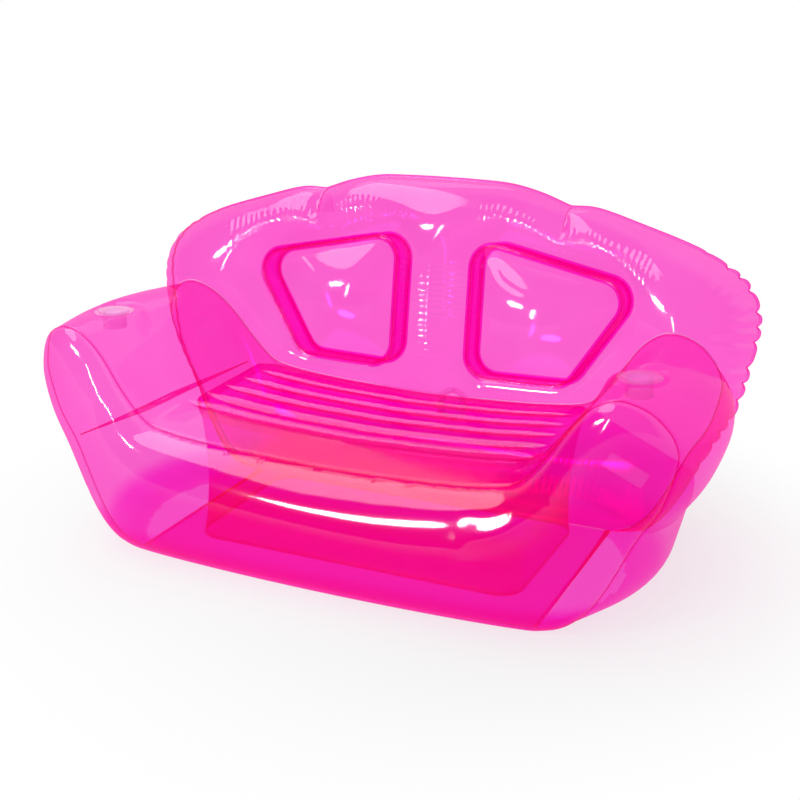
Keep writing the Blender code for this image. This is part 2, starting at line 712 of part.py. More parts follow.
def back_front_sheet(base, finish):
    """Front sheet of the back, which also closes the base at the rear."""
    seam, swell = base_seam(base)
    points, faces, held = back_layout(seam=seam)
    held.update(zip(nearest(points, seam), swell))
    partition = np.vstack([seam, (seam[-1, 0], FILM), (0.0, FILM)])
    fill = fullness(points, faces, partition, BACK_FILL)
    height = membrane(points, faces, held, fill)
    shared = faces[fill == 0]
    stretched = np.setdiff1d(shared, sorted(held))
    height[stretched] = membrane(points, shared, held, fill[fill == 0], power=1)[stretched]
    places = off_plane(points, -height - GAP / 2)
    return film("back_front_sheet", places, faces, finish, lambda place: (0.0, -1.0, 0.0))


def back_rear_sheet(finish):
    """Rear sheet of the back, with a flat spot and a hole for its valve, and the spot's depth."""
    points, faces, held = back_layout(with_valve=True)
    height = membrane(points, faces, held, fullness(points, faces, None, REAR_FILL))
    hole = nearest(points, spot_ring(VALVE_HOLE_RADIUS))
    spot_height = float(height[hole].mean())
    away = np.hypot(points[:, 0], points[:, 1] - REAR_VALVE_HEIGHT)
    blend = np.clip((away - VALVE_SPOT_RADIUS - SEAM_PLAY) / VALVE_BLEND, 0.0, 1.0)
    height = spot_height + (height - spot_height) * blend
    places = off_plane(points, height + GAP / 2)
    film("back_rear_sheet", places, faces, finish, lambda place: (0.0, 1.0, 0.0))
    return spot_height + GAP / 2, float(places[:, 1].max()) + FILM


def window_baffle(name, side, finish):
    """Film strip between the back sheets round one window."""
    loop = window_outline()
    reach = WINDOW_HALF_DEPTH - GAP / 2
    rows = [off_plane(loop, reach * share) * (side, 1.0, 1.0) for share in (-1.0, 0.0, 1.0)]
    return strip(name, rows, finish, closed=True)


def notch_tie(name, side, finish):
    """Short film tie between the back sheets under one notch."""
    line = tie_line()[1:]
    reach = tie_depths()[1:] - GAP / 2
    rows = [off_plane(line, reach * share) * (side, 1.0, 1.0) for share in (-1.0, 0.0, 1.0)]
    return strip(name, rows, finish)


def seat_baffle(base, finish):
    """Film wall under the seat, drawn in half way down, from the seat sheet to the floor panel."""
    top = base.place(on_seat(base, baffle_loop(BAFFLE_HALF_LENGTH, BAFFLE_FRONT)))
    foot = baffle_loop(BAFFLE_FOOT_HALF_LENGTH, BAFFLE_FOOT_FRONT)
    foot = np.column_stack([foot, np.full(len(foot), FILM + GAP)])
    top[:, 2] -= GAP + SEAM_PLAY
    ahead = np.gradient(top[:, :2], axis=0)
    inward = np.column_stack([-ahead[:, 1], ahead[:, 0], np.zeros(len(foot))])
    inward /= np.linalg.norm(inward, axis=1)[:, None]
    inward[[0, -1], 0] = 0.0
    rows = []
    for share in np.linspace(0.0, 1.0, BAFFLE_ROWS):
        rows.append(top * (1 - share) + foot * share + inward * BAFFLE_WAIST * 4 * share * (1 - share))
    return strip("seat_baffle", rows, finish, mirrored=True)


def seat_web(base, name, depth, finish):
    """Upright film strip from one seat weld to the floor panel, with drawn in ends."""
    top = base.place(on_seat(base, rib_line(BAFFLE_HALF_LENGTH, depth)))
    top[:, 2] -= GAP + SEAM_PLAY
    foot = top.copy()
    foot[:, 2] = FILM + GAP
    rows = []
    for share in np.linspace(0.0, 1.0, WEB_ROWS):
        row = top * (1 - share) + foot * share
        row[:, 0] *= 1 - WEB_END_DRAW_SHARE * 4 * share * (1 - share)
        rows.append(row)
    return strip(name, rows, finish, mirrored=True)


def arm_web(base, name, side, finish):
    """Slanted film strip across one arm, from its inner weld to its outer weld."""
    inner = base.place(arm_weld(base, base.arm_web_inner()))
    outer = base.place(arm_weld(base, base.arm_web_outer()))
    across = outer - inner
    pull = (GAP + FILM) / np.linalg.norm(across, axis=1)[:, None]
    rows = []
    for share in np.linspace(0.0, 1.0, ARM_WEB_STRIPS + 1):
        row = inner + across * (pull + (1 - 2 * pull) * share)
        row[:, 0] *= side
        rows.append(row)
    slot = {(level, step) for level in range(*ARM_WEB_SLOT_STRIPS)
            for step in range(*ARM_WEB_SLOT_ROWS)}
    return strip(name, rows, finish, gap_cells=slot)


class Valve:
    """One air valve, drawn with the film's outer face at height zero and the air below it."""

    def __init__(self, name, place, outward, towards_hinge, finish):
        self.name = name
        self.finish = finish
        outward = Vector(outward)
        towards_hinge = Vector(towards_hinge)
        sideways = outward.cross(towards_hinge)
        self.frame = Matrix((towards_hinge, sideways, outward)).transposed().to_4x4()
        self.frame.translation = Vector(place)
        self.flange_top = GAP + VALVE_FLANGE_THICKNESS
        self.axis_height = self.flange_top + GAP + BARREL_RADIUS
        self.cap_bottom = self.axis_height - TONGUE_THICKNESS / 2
        self.rim_top = self.cap_bottom - GAP
        self.bore = VALVE_NECK_RADIUS - VALVE_WALL

    def turned(self, profile):
        """A solid of revolution about the valve's axis from a closed (radius, height) outline."""
        shape = bmesh.new()
        turns = np.linspace(0.0, 2 * math.pi, ROUND_STEPS, endpoint=False)
        rings = []
        for radius, height in profile:
            if radius:
                rings.append([shape.verts.new((radius * math.cos(t), radius * math.sin(t), height))
                              for t in turns])
            else:
                rings.append([shape.verts.new((0.0, 0.0, height))])
        for start, end in zip(rings, rings[1:] + rings[:1]):
            for step in range(ROUND_STEPS):
                after = (step + 1) % ROUND_STEPS
                corners = [start[step % len(start)], end[step % len(end)],
                           end[after % len(end)], start[after % len(start)]]
                corners = list(dict.fromkeys(corners))
                if len(corners) > 2:
                    shape.faces.new(corners)
        return shape

    def block(self, start, end, width, bottom, top):
        """A straight bar along the hinge direction."""
        shape = bmesh.new()
        size = Matrix.Diagonal((end - start, width, top - bottom, 1.0))
        centre = Matrix.Translation(((start + end) / 2, 0.0, (bottom + top) / 2))
        bmesh.ops.create_cube(shape, size=1.0, matrix=centre @ size)
        return shape

    def barrel(self, reach, height, width):
        """The round root of a tongue, lying on the hinge axis."""
        shape = bmesh.new()
        turn = Matrix.Rotation(math.pi / 2, 4, "X")
        place = Matrix.Translation((reach, 0.0, height))
        bmesh.ops.create_cone(
            shape, cap_ends=True, segments=BARREL_STEPS, radius1=BARREL_RADIUS,
            radius2=BARREL_RADIUS, depth=width, matrix=place @ turn)
        return shape

    def piece(self, name, shape, pivot):
        """The shape as an object whose origin is the pivot."""
        bmesh.ops.recalc_face_normals(shape, faces=shape.faces)
        origin = self.frame @ Vector(pivot)
        shape.transform(Matrix.Translation(-origin) @ self.frame)
        mesh = bpy.data.meshes.new(name)
        shape.to_mesh(mesh)
        shape.free()
        mesh.materials.append(self.finish)
        item = bpy.data.objects.new(name, mesh)
        item.location = origin
        bpy.context.collection.objects.link(item)
        return item

    def join(self, item, shapes, pivot):
        """Grow more shapes onto the item."""
        for number, shape in enumerate(shapes, 1):
            tool = self.piece(f"{item.name}_part_{number}", shape, pivot)
            tool.hide_render = True
            tool.display_type = "WIRE"
            union = item.modifiers.new(f"part_{number}", "BOOLEAN")
            union.operation = "UNION"
            union.solver = "EXACT"
            union.object = tool

    def body(self):
        """Flange on the film, raised rim, and neck through the film's hole."""
        profile = [
            (self.bore, -VALVE_NECK_DEPTH), (VALVE_NECK_RADIUS, -VALVE_NECK_DEPTH),
            (VALVE_NECK_RADIUS, GAP), (VALVE_FLANGE_RADIUS, GAP),
            (VALVE_FLANGE_RADIUS, self.flange_top), (VALVE_RIM_RADIUS, self.flange_top),
            (VALVE_RIM_RADIUS, self.rim_top), (self.bore, self.rim_top),
        ]
        return self.piece(f"{self.name}_body", self.turned(profile), (0.0, 0.0, 0.0))

    def cap(self):
        """Flip cap with its plug, finger tab and tongue, turning about the tongue's root."""
        plug = self.bore - CAP_PLUG_CLEARANCE
        hollow = plug - CAP_PLUG_WALL
        top = self.cap_bottom + CAP_THICKNESS
        plug_bottom = self.cap_bottom - CAP_PLUG_DEPTH
        profile = [
            (0.0, self.cap_bottom), (hollow, self.cap_bottom), (hollow, plug_bottom),
            (plug, plug_bottom), (plug, self.cap_bottom), (CAP_RADIUS, self.cap_bottom),
            (CAP_RADIUS, top), (0.0, top),
        ]
        reach = VALVE_FLANGE_RADIUS - BARREL_INSET
        pivot = (reach, 0.0, self.axis_height)
        cap = self.piece(f"{self.name}_cap", self.turned(profile), pivot)
        tongue_top = self.cap_bottom + TONGUE_THICKNESS
        inside_cap = CAP_RADIUS - TONGUE_WIDTH / 2
        tab_end = -CAP_RADIUS - CAP_TAB_LENGTH
        self.join(cap, [
            self.block(inside_cap, reach, TONGUE_WIDTH, self.cap_bottom, tongue_top),
            self.barrel(reach, self.axis_height, TONGUE_WIDTH),
            self.block(tab_end, -inside_cap, CAP_TAB_WIDTH, self.cap_bottom, tongue_top),
        ], pivot)
        return cap

    def flap(self):
        """One way flap that closes the neck from below, turning about its tongue's root."""
        top = -VALVE_NECK_DEPTH - GAP
        bottom = top - FLAP_THICKNESS
        profile = [(0.0, bottom), (VALVE_NECK_RADIUS, bottom), (VALVE_NECK_RADIUS, top), (0.0, top)]
        reach = VALVE_NECK_RADIUS + GAP + BARREL_RADIUS
        pivot = (reach, 0.0, (bottom + top) / 2)
        flap = self.piece(f"{self.name}_flap", self.turned(profile), pivot)
        inside_flap = VALVE_NECK_RADIUS - TONGUE_WIDTH / 2
        self.join(flap, [
            self.block(inside_flap, reach, TONGUE_WIDTH, bottom, top),
            self.barrel(reach, pivot[2], TONGUE_WIDTH),
        ], pivot)
        return flap

    def build(self):
        """All pieces of the valve."""
        self.body()
        self.cap()
        self.flap()


def centre_depth(front_reach, rear_reach):
    """Move everything so that the middle of the sofa's depth is at zero."""
    for item in bpy.data.objects:
        item.location.y -= (front_reach + rear_reach) / 2


def clear_scene():
    """Start from an empty scene."""
    for item in list(bpy.data.objects):
        bpy.data.objects.remove(item, do_unlink=True)


def main():
    """Build every piece of the sofa."""
    clear_scene()
    pink = material("pink_film", FILM_PINK, 0.06)
    clear = material("clear_valve", VALVE_CLEAR, 0.20)
    base = BaseSheet()
    front_reach = front_panel(pink)
    arm_and_seat_sheet(base, pink)
    floor_panel(base, pink)
    back_front_sheet(base, pink)
    spot_swell, rear_reach = back_rear_sheet(pink)
    seat_baffle(base, pink)
    for number, depth in enumerate(weld_lines()[1:-1], 1):
        seat_web(base, f"seat_web_{number}", depth, pink)
    for label, side in (("left", -1), ("right", 1)):
        arm_web(base, f"arm_web_{label}", side, pink)
        window_baffle(f"window_baffle_{label}", side, pink)
        notch_tie(f"notch_tie_{label}", side, pink)
        place = (side * VALVE_ACROSS, VALVE_DEPTH, base.spot_height + FILM)
        Valve(f"valve_{label}", place, (0.0, 0.0, 1.0), (side, 0.0, 0.0), clear).build()
    place = off_plane(np.array([(0.0, REAR_VALVE_HEIGHT)]), spot_swell + FILM)[0]
    outward = Vector((0.0, 1.0, -BACK_LEAN)).normalized()
    downward = Vector((0.0, -BACK_LEAN, -1.0)).normalized()
    Valve("valve_rear", place, outward, downward, clear).build()
    centre_depth(front_reach, rear_reach)


main()
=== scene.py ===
"""Looks of an inflatable two seat sofa: blown film panels, welds, puckers, inner webs, air valves.

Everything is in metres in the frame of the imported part. The panels are drawn as flat cuts, are
blown up by a membrane solve, and are then given the puckers and creases of welded film.
"""
import logging
import math
from collections.abc import Callable
from dataclasses import dataclass, replace
from enum import Enum
import bpy
import numpy as np
from mathutils import Matrix, Vector
from mathutils.geometry import delaunay_2d_cdt
from mathutils.kdtree import KDTree


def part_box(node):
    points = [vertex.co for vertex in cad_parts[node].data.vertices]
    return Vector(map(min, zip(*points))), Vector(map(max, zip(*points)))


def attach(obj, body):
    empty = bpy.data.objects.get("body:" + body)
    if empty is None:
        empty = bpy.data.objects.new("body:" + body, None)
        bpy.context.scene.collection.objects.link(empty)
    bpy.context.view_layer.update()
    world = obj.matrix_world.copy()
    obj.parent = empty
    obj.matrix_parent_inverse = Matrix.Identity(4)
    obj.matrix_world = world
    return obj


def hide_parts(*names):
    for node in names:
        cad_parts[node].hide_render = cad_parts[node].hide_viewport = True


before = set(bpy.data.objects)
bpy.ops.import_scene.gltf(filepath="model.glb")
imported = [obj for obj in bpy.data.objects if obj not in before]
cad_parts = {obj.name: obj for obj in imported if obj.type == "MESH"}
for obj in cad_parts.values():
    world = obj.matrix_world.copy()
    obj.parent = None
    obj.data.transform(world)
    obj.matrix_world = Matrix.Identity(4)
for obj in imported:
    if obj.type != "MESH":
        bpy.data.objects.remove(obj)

LOG = logging.getLogger("sofa")
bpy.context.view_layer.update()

Colour = tuple[float, float, float]
Point = tuple[float, float]
Outward = Callable[[Vector], tuple[float, float, float]]
Zone = Callable[[np.ndarray], np.ndarray]

FILM = 0.0005
WELD_GAP = 0.0003
TINY = 0.0001
VALVE_RIM = 0.0030
BODY = "sofa"
OTHER_HALF = (-1.0, 1.0, 1.0)
WHITE = (1.0, 1.0, 1.0, 1.0)


class Side(Enum):
    """Left and right of a viewer in front of the sofa, as the sign of X."""

    LEFT = -1
    RIGHT = 1

    @property
    def label(self) -> str:
        """The side's word in piece names."""
        return self.name.lower()

    @property
    def mirror(self) -> tuple[float, float, float]:
        """What turns a place on the right into its like on this side."""
        return float(self.value), 1.0, 1.0


# ---- Flat curves


def path_length(path: np.ndarray) -> np.ndarray:
    """Distance along a path at each of its points.

    Args:
        path: Points in order, one row each.

    Returns:
        The running length, starting at zero.
    """
    return np.concatenate([[0.0], np.cumsum(np.linalg.norm(np.diff(path, axis=0), axis=1))])


def even_steps(path: np.ndarray, spacing: float) -> np.ndarray:
    """The same path with points at equal distances along it.

    Args:
        path: Points in order.
        spacing: Wanted distance between points.

    Returns:
        The new points.
    """
    path = np.array(path, float)
    length = path_length(path)
    count = max(2, round(length[-1] / spacing) + 1)
    places = np.linspace(0.0, length[-1], count)
    return np.column_stack([np.interp(places, length, path[:, i]) for i in range(path.shape[1])])


def smooth_path(points: np.ndarray, spacing: float, fine: int = 24) -> np.ndarray:
    """A curve through the points in even steps.

    Args:
        points: Points that the curve passes.
        spacing: Wanted distance between points.
        fine: Steps drawn between two points before they are evened out.

    Returns:
        The curve's points.
    """
    points = np.array(points, float)
    padded = np.vstack([2 * points[0] - points[1], points, 2 * points[-1] - points[-2]])
    drawn = []
    for index in range(1, len(padded) - 2):
        before, start, end, after = padded[index - 1:index + 3]
        for step in np.linspace(0.0, 1.0, fine, endpoint=False):
            drawn.append(0.5 * (2 * start + (end - before) * step
                                + (2 * before - 5 * start + 4 * end - after) * step ** 2
                                + (3 * start - before - 3 * end + after) * step ** 3))
    drawn.append(points[-1])
    return even_steps(np.array(drawn), spacing)


def rounded_loop(corners: np.ndarray, radius: float, spacing: float,
                 fine: int = 13) -> np.ndarray:
    """A closed outline with straight sides and round corners.

    Args:
        corners: Its corners in order.
        radius: Radius of each corner.
        spacing: Wanted distance between points.
        fine: Points drawn round a corner before they are evened out.

    Returns:
        The points, the first not repeated.
    """
    corners = np.array(corners, float)
    path = []
    for index, corner in enumerate(corners):
        back = corners[index - 1] - corner
        ahead = corners[(index + 1) % len(corners)] - corner
        back /= np.linalg.norm(back)
        ahead /= np.linalg.norm(ahead)
        half = math.acos(np.clip(back @ ahead, -1.0, 1.0)) / 2
        centre = corner + (back + ahead) / np.linalg.norm(back + ahead) * radius / math.sin(half)
        first = corner + back * radius / math.tan(half)
        last = corner + ahead * radius / math.tan(half)
        for share in np.linspace(0.0, 1.0, fine):
            arm = (first - centre) * (1 - share) + (last - centre) * share
            path.append(centre + arm / np.linalg.norm(arm) * radius)
    return even_steps(np.vstack([path, path[:1]]), spacing)[:-1]


def inside(points: np.ndarray, loop: np.ndarray) -> np.ndarray:
    """Which points lie inside a closed loop.

    Args:
        points: Points to test.
        loop: The loop's corners.

    Returns:
        One truth value for each point.
    """
    result = np.zeros(len(points), bool)
    for start, end in zip(loop, np.roll(loop, -1, axis=0)):
        crosses = (start[1] > points[:, 1]) != (end[1] > points[:, 1])
        if crosses.any():
            reach = start[0] + (points[:, 1] - start[1]) / (end[1] - start[1]) * (end[0] - start[0])
            result ^= crosses & (points[:, 0] < reach)
    return result


def inset_path(path: np.ndarray, distance: float) -> np.ndarray:
    """A path moved to its right, with its ends kept on the middle line.

    Args:
        path: Half outline from the middle line to the middle line.
        distance: How far it moves.

    Returns:
        The moved points.
    """
    ahead = np.gradient(path, axis=0)
    ahead /= np.linalg.norm(ahead, axis=1)[:, None]
    moved = path + np.column_stack([ahead[:, 1], -ahead[:, 0]]) * distance
    moved[[0, -1], 0] = 0.0
    return moved[moved[:, 0] > -TINY]


def smooth_step(value: np.ndarray) -> np.ndarray:
    """A value held between 0 and 1 and eased at both ends."""
    value = np.clip(value, 0.0, 1.0)
    return value * value * (3 - 2 * value)


def band(value: np.ndarray, start: float, rise: float, end: float, fall: float) -> np.ndarray:
    """1 between two values and 0 outside them, eased at both.

    Args:
        value: The values.
        start: Where it starts to rise.
        rise: Over how much it rises.
        end: Where it is back at 0.
        fall: Over how much it falls.

    Returns:
        One share for each value.
    """
    return smooth_step((value - start) / rise) * smooth_step((end - value) / fall)


def point_tree(points: np.ndarray) -> KDTree:
    """A search tree over flat points.

    Args:
        points: The points.

    Returns:
        The balanced tree.
    """
    tree = KDTree(len(points))
    for index, point in enumerate(points):
        tree.insert((point[0], point[1], 0.0), index)
    tree.balance()
    return tree


def clearance(points: np.ndarray, others: np.ndarray) -> np.ndarray:
    """How far each point is from the closest one of some others."""
    tree = point_tree(others)
    return np.array([tree.find((p[0], p[1], 0.0))[2] for p in points])


def nearest(points: np.ndarray, wanted: np.ndarray) -> np.ndarray:
    """Index of the point that lies closest to each wanted place."""
    tree = point_tree(points)
    return np.array([tree.find((p[0], p[1], 0.0))[1] for p in wanted])


def whole_path(half: np.ndarray) -> np.ndarray:
    """A path in space with its mirror image before it, from the left end to the right one."""
    return np.vstack([half[::-1] * OTHER_HALF, half[1:]])


def cells(levels: int, count: int, closed: bool = False) -> list[tuple[int, int, tuple]]:
    """The cells between rows of places that are stacked into one array.

    Args:
        levels: Number of rows.
        count: Places in each row.
        closed: Whether each row closes on itself.

    Returns:
        Row, step and four corner indices of each cell.
    """
    made = []
    for level in range(levels - 1):
        for step in range(count if closed else count - 1):
            low, after = level * count, (step + 1) % count
            made.append((level, step, (low + step, low + after, low + count + after,
                                       low + count + step)))
    return made


def both_halves(points: np.ndarray, faces: np.ndarray) -> tuple:
    """A half cut with its mirror image, joined on the middle line.

    Args:
        points: The half's points.
        faces: Its triangles.

    Returns:
        Points, triangles, and the half's point that each point comes from.
    """
    apart = np.abs(points[:, 0]) > TINY
    index = np.arange(len(points))
    index[apart] = len(points) + np.arange(apart.sum())
    whole = np.vstack([points, points[apart] * (-1.0, 1.0)])
    source = np.concatenate([np.arange(len(points)), np.flatnonzero(apart)])
    return whole, np.vstack([faces, index[faces][:, ::-1]]), source


@dataclass(frozen=True)
class Crease:
    """A fold pressed into a film: its path, half width, and height, below zero for a groove."""

    path: tuple[Point, ...]
    half_width: float
    height: float
    spacing: float = 0.003
    fade_power: float = 0.7
    least_share: float = 0.03

    def read(self, points: np.ndarray) -> np.ndarray:
        """Height of the fold, which fades out at both ends.

        Args:
            points: Where it is wanted.

        Returns:
            One height for each point.
        """
        path = smooth_path(self.path, self.spacing)
        index = nearest(path, points)
        off = np.linalg.norm(points - path[index], axis=1)
        fade = np.sin(math.pi * np.clip(index / (len(path) - 1), 0.0, 1.0))
        return self.height * fade ** self.fade_power * np.exp(-(off / self.half_width) ** 2)

    def zone(self, points: np.ndarray) -> np.ndarray:
        """Which points lie on the fold, or on its mirror image."""
        near = np.abs(self.read(points)) + np.abs(self.read(points * (-1.0, 1.0)))
        return near > self.least_share * abs(self.height)


class EdgeRuler:
    """Measures points by how far along a path they are, and how far off it."""

    spacing = 0.004

    def __init__(self, path: np.ndarray) -> None:
        """Measure from a path.

        Args:
            path: Its points in order.
        """
        self.path = even_steps(path, self.spacing)
        self.length = path_length(self.path)
        self.ahead = np.gradient(self.path, axis=0)
        self.ahead /= np.linalg.norm(self.ahead, axis=1)[:, None]

    def read(self, points: np.ndarray) -> tuple[np.ndarray, np.ndarray]:
        """Measure some points.

        Args:
            points: Points to measure.

        Returns:
            Distance along the path, and distance off it.
        """
        index = nearest(self.path, points)
        away = points - self.path[index]
        along = (away * self.ahead[index]).sum(axis=1)
        off = np.linalg.norm(away, axis=1)
        return self.length[index] + np.clip(along, -self.spacing, self.spacing), off


@dataclass
class Cut:
    """A flat film cut: triangles over an outline, made to follow loops, lines and points."""

    outline: np.ndarray
    spacing: float
    loops: tuple = ()
    lines: tuple = ()
    extra: tuple = ()
    zones: tuple = ()
    least_share: float = 0.62

    def fill(self) -> tuple[np.ndarray, np.ndarray]:
        """Triangulate the cut.

        Returns:
            Points, and triangles as rows of three indices.
        """
        points: list = []
        edges: list = []
        for path, closed in ([(self.outline, True)] + [(loop, True) for loop in self.loops]
                             + [(line, False) for line in self.lines]):
            first = len(points)
            points.extend(path)
            edges.extend((first + i, first + i + 1) for i in range(len(path) - 1))
            if closed:
                edges.append((len(points) - 1, first))
        for group in self.extra:
            points.extend(group[inside(group, self.outline)])
        for zone, spacing in self.zones:
            points.extend(self.spread(np.array(points), spacing, zone))
        points.extend(self.spread(np.array(points), self.spacing, None))
        made, _, faces, _, _, _ = delaunay_2d_cdt(
            [Vector(p) for p in points], edges, [], 1, TINY / 2)
        made = np.array([tuple(p) for p in made])
        faces = np.array([face for face in faces if len(face) == 3])
        return made, faces[inside(made[faces].mean(axis=1), self.outline)]

    def spread(self, taken: np.ndarray, spacing: float, zone: Zone | None) -> np.ndarray:
        """Evenly spread points inside the outline, clear of those that are taken.

        Args:
            taken: Points that are there.
            spacing: Distance between new points.
            zone: A test that keeps only some of them, or None.

        Returns:
            The new points.
        """
        low = self.outline.min(axis=0)
        high = self.outline.max(axis=0)
        step = spacing * math.sqrt(0.75)
        rows = np.arange(int((high[1] - low[1]) / step) + 2)
        columns = np.arange(int((high[0] - low[0]) / spacing) + 2)
        across, up = np.meshgrid(columns, rows)
        grid = np.column_stack([
            (low[0] + spacing * (across + 0.5 * (up % 2))).ravel(), (low[1] + step * up).ravel()])
        if zone is not None:
            grid = grid[zone(grid)]
        grid = grid[inside(grid, self.outline)]
        return grid[clearance(grid, taken) > self.least_share * spacing]


class Membrane:
    """Solves how far a film swells between the lines at which it is held."""

    most_steps = 4000
    accuracy = 1e-14
    smallest = 1e-30

    def __init__(self, points: np.ndarray, faces: np.ndarray) -> None:
        """Measure the triangles.

        Args:
            points: Points of a filled cut.
            faces: Its triangles.
        """
        self.points = points
        self.faces = faces
        corners = points[faces]
        edge = np.roll(corners, -1, axis=1) - np.roll(corners, -2, axis=1)
        self.area = np.abs(edge[:, 0, 0] * edge[:, 1, 1] - edge[:, 0, 1] * edge[:, 1, 0]) / 2
        local = np.einsum("nik,njk->nij", edge, edge) / (4 * self.area[:, None, None])
        self.row = np.repeat(faces, 3, axis=1).ravel()
        self.column = np.tile(faces, (1, 3)).ravel()
        self.weight = local.reshape(len(faces), 9).ravel()

    def times(self, values: np.ndarray) -> np.ndarray:
        """The stiffness times some values."""
        return np.bincount(self.row, self.weight * values[self.column], len(self.points))

    def solve(self, held: dict[int, float], fill: np.ndarray, power: int = 2) -> np.ndarray:
        """Blow the film up.

        Args:
            held: Height at which some points are held, by index.
            fill: Fullness over each triangle.
            power: 2 for round cross sections, 1 for a film that is only stretched.

        Returns:
            The height at each point.
        """
        count = len(self.points)
        push = np.bincount(self.faces.ravel(), np.repeat(fill * self.area / 3, 3), count)
        known = np.zeros(count, bool)
        raised = np.zeros(count)
        for index, height in held.items():
            known[index] = True
            raised[index] = height ** power
        free = ~known & (np.bincount(self.faces.ravel(), minlength=count) > 0)
        scale = np.bincount(self.row[self.row == self.column],
                            self.weight[self.row == self.column], count)
        scale[scale == 0] = 1.0
        left = np.where(free, push - self.times(raised), 0.0)
        step = left / scale
        way = step.copy()
        size = left @ step
        first = max(size, self.smallest)
        for _ in range(self.most_steps):
            turned = np.where(free, self.times(way), 0.0)
            amount = size / (way @ turned)
            raised += amount * way
            left -= amount * turned
            step = left / scale
            after = left @ step
            if after < first * self.accuracy:
                break
            way = step + after / size * way
            size = after
        return raised if power == 1 else np.sqrt(np.maximum(raised, 0.0))


# ---- Finishes


def add_node(tree: bpy.types.NodeTree, kind: str, **values: object) -> bpy.types.Node:
    """A new shader node with some of its inputs set.

    Args:
        tree: Where it goes.
        kind: Its type, without the leading word Shader.
        values: A value or a socket for each input, its name written with underscores.

    Returns:
        The node.
    """
    node = tree.nodes.new(f"Shader{kind}")
    for name, value in values.items():
        socket = node.inputs[name.replace("_", " ")]
        if isinstance(value, bpy.types.NodeSocket):
            tree.links.new(value, socket)
        else:
            socket.default_value = value
    return node


def math_node(tree: bpy.types.NodeTree, operation: str, *values: object) -> bpy.types.NodeSocket:
    """The result of one sum.

    Args:
        tree: Where the node goes.
        operation: What it does.
        values: A value or a socket for each input in order, or None to leave one alone.

    Returns:
        The result's socket.
    """
    node = tree.nodes.new("ShaderNodeMath")
    node.operation = operation
    for socket, value in zip(node.inputs, values):
        if isinstance(value, bpy.types.NodeSocket):
            tree.links.new(value, socket)
        elif value is not None:
            socket.default_value = value
    return node.outputs[0]


def ease_node(tree: bpy.types.NodeTree, value: bpy.types.NodeSocket,
              **limits: object) -> bpy.types.NodeSocket:
    """A value eased from one range into another.

    Args:
        tree: Where the node goes.
        value: The value.
        limits: The ranges, named as the node's inputs.

    Returns:
        The result's socket.
    """
    node = add_node(tree, "NodeMapRange", Value=value, **limits)
    node.interpolation_type = "SMOOTHSTEP"
    return node.outputs[0]


def mix_shaders(tree: bpy.types.NodeTree, share: object, first: bpy.types.Node,
                second: bpy.types.Node) -> bpy.types.Node:
    """Two shaders mixed.

    Args:
        tree: Where the node goes.
        share: Share of the second, as a value or a socket.
        first: The first shader.
        second: The second shader.

    Returns:
        The mixing node.
    """
    mix = add_node(tree, "NodeMixShader", Fac=share)
    tree.links.new(first.outputs[0], mix.inputs[1])
    tree.links.new(second.outputs[0], mix.inputs[2])
    return mix


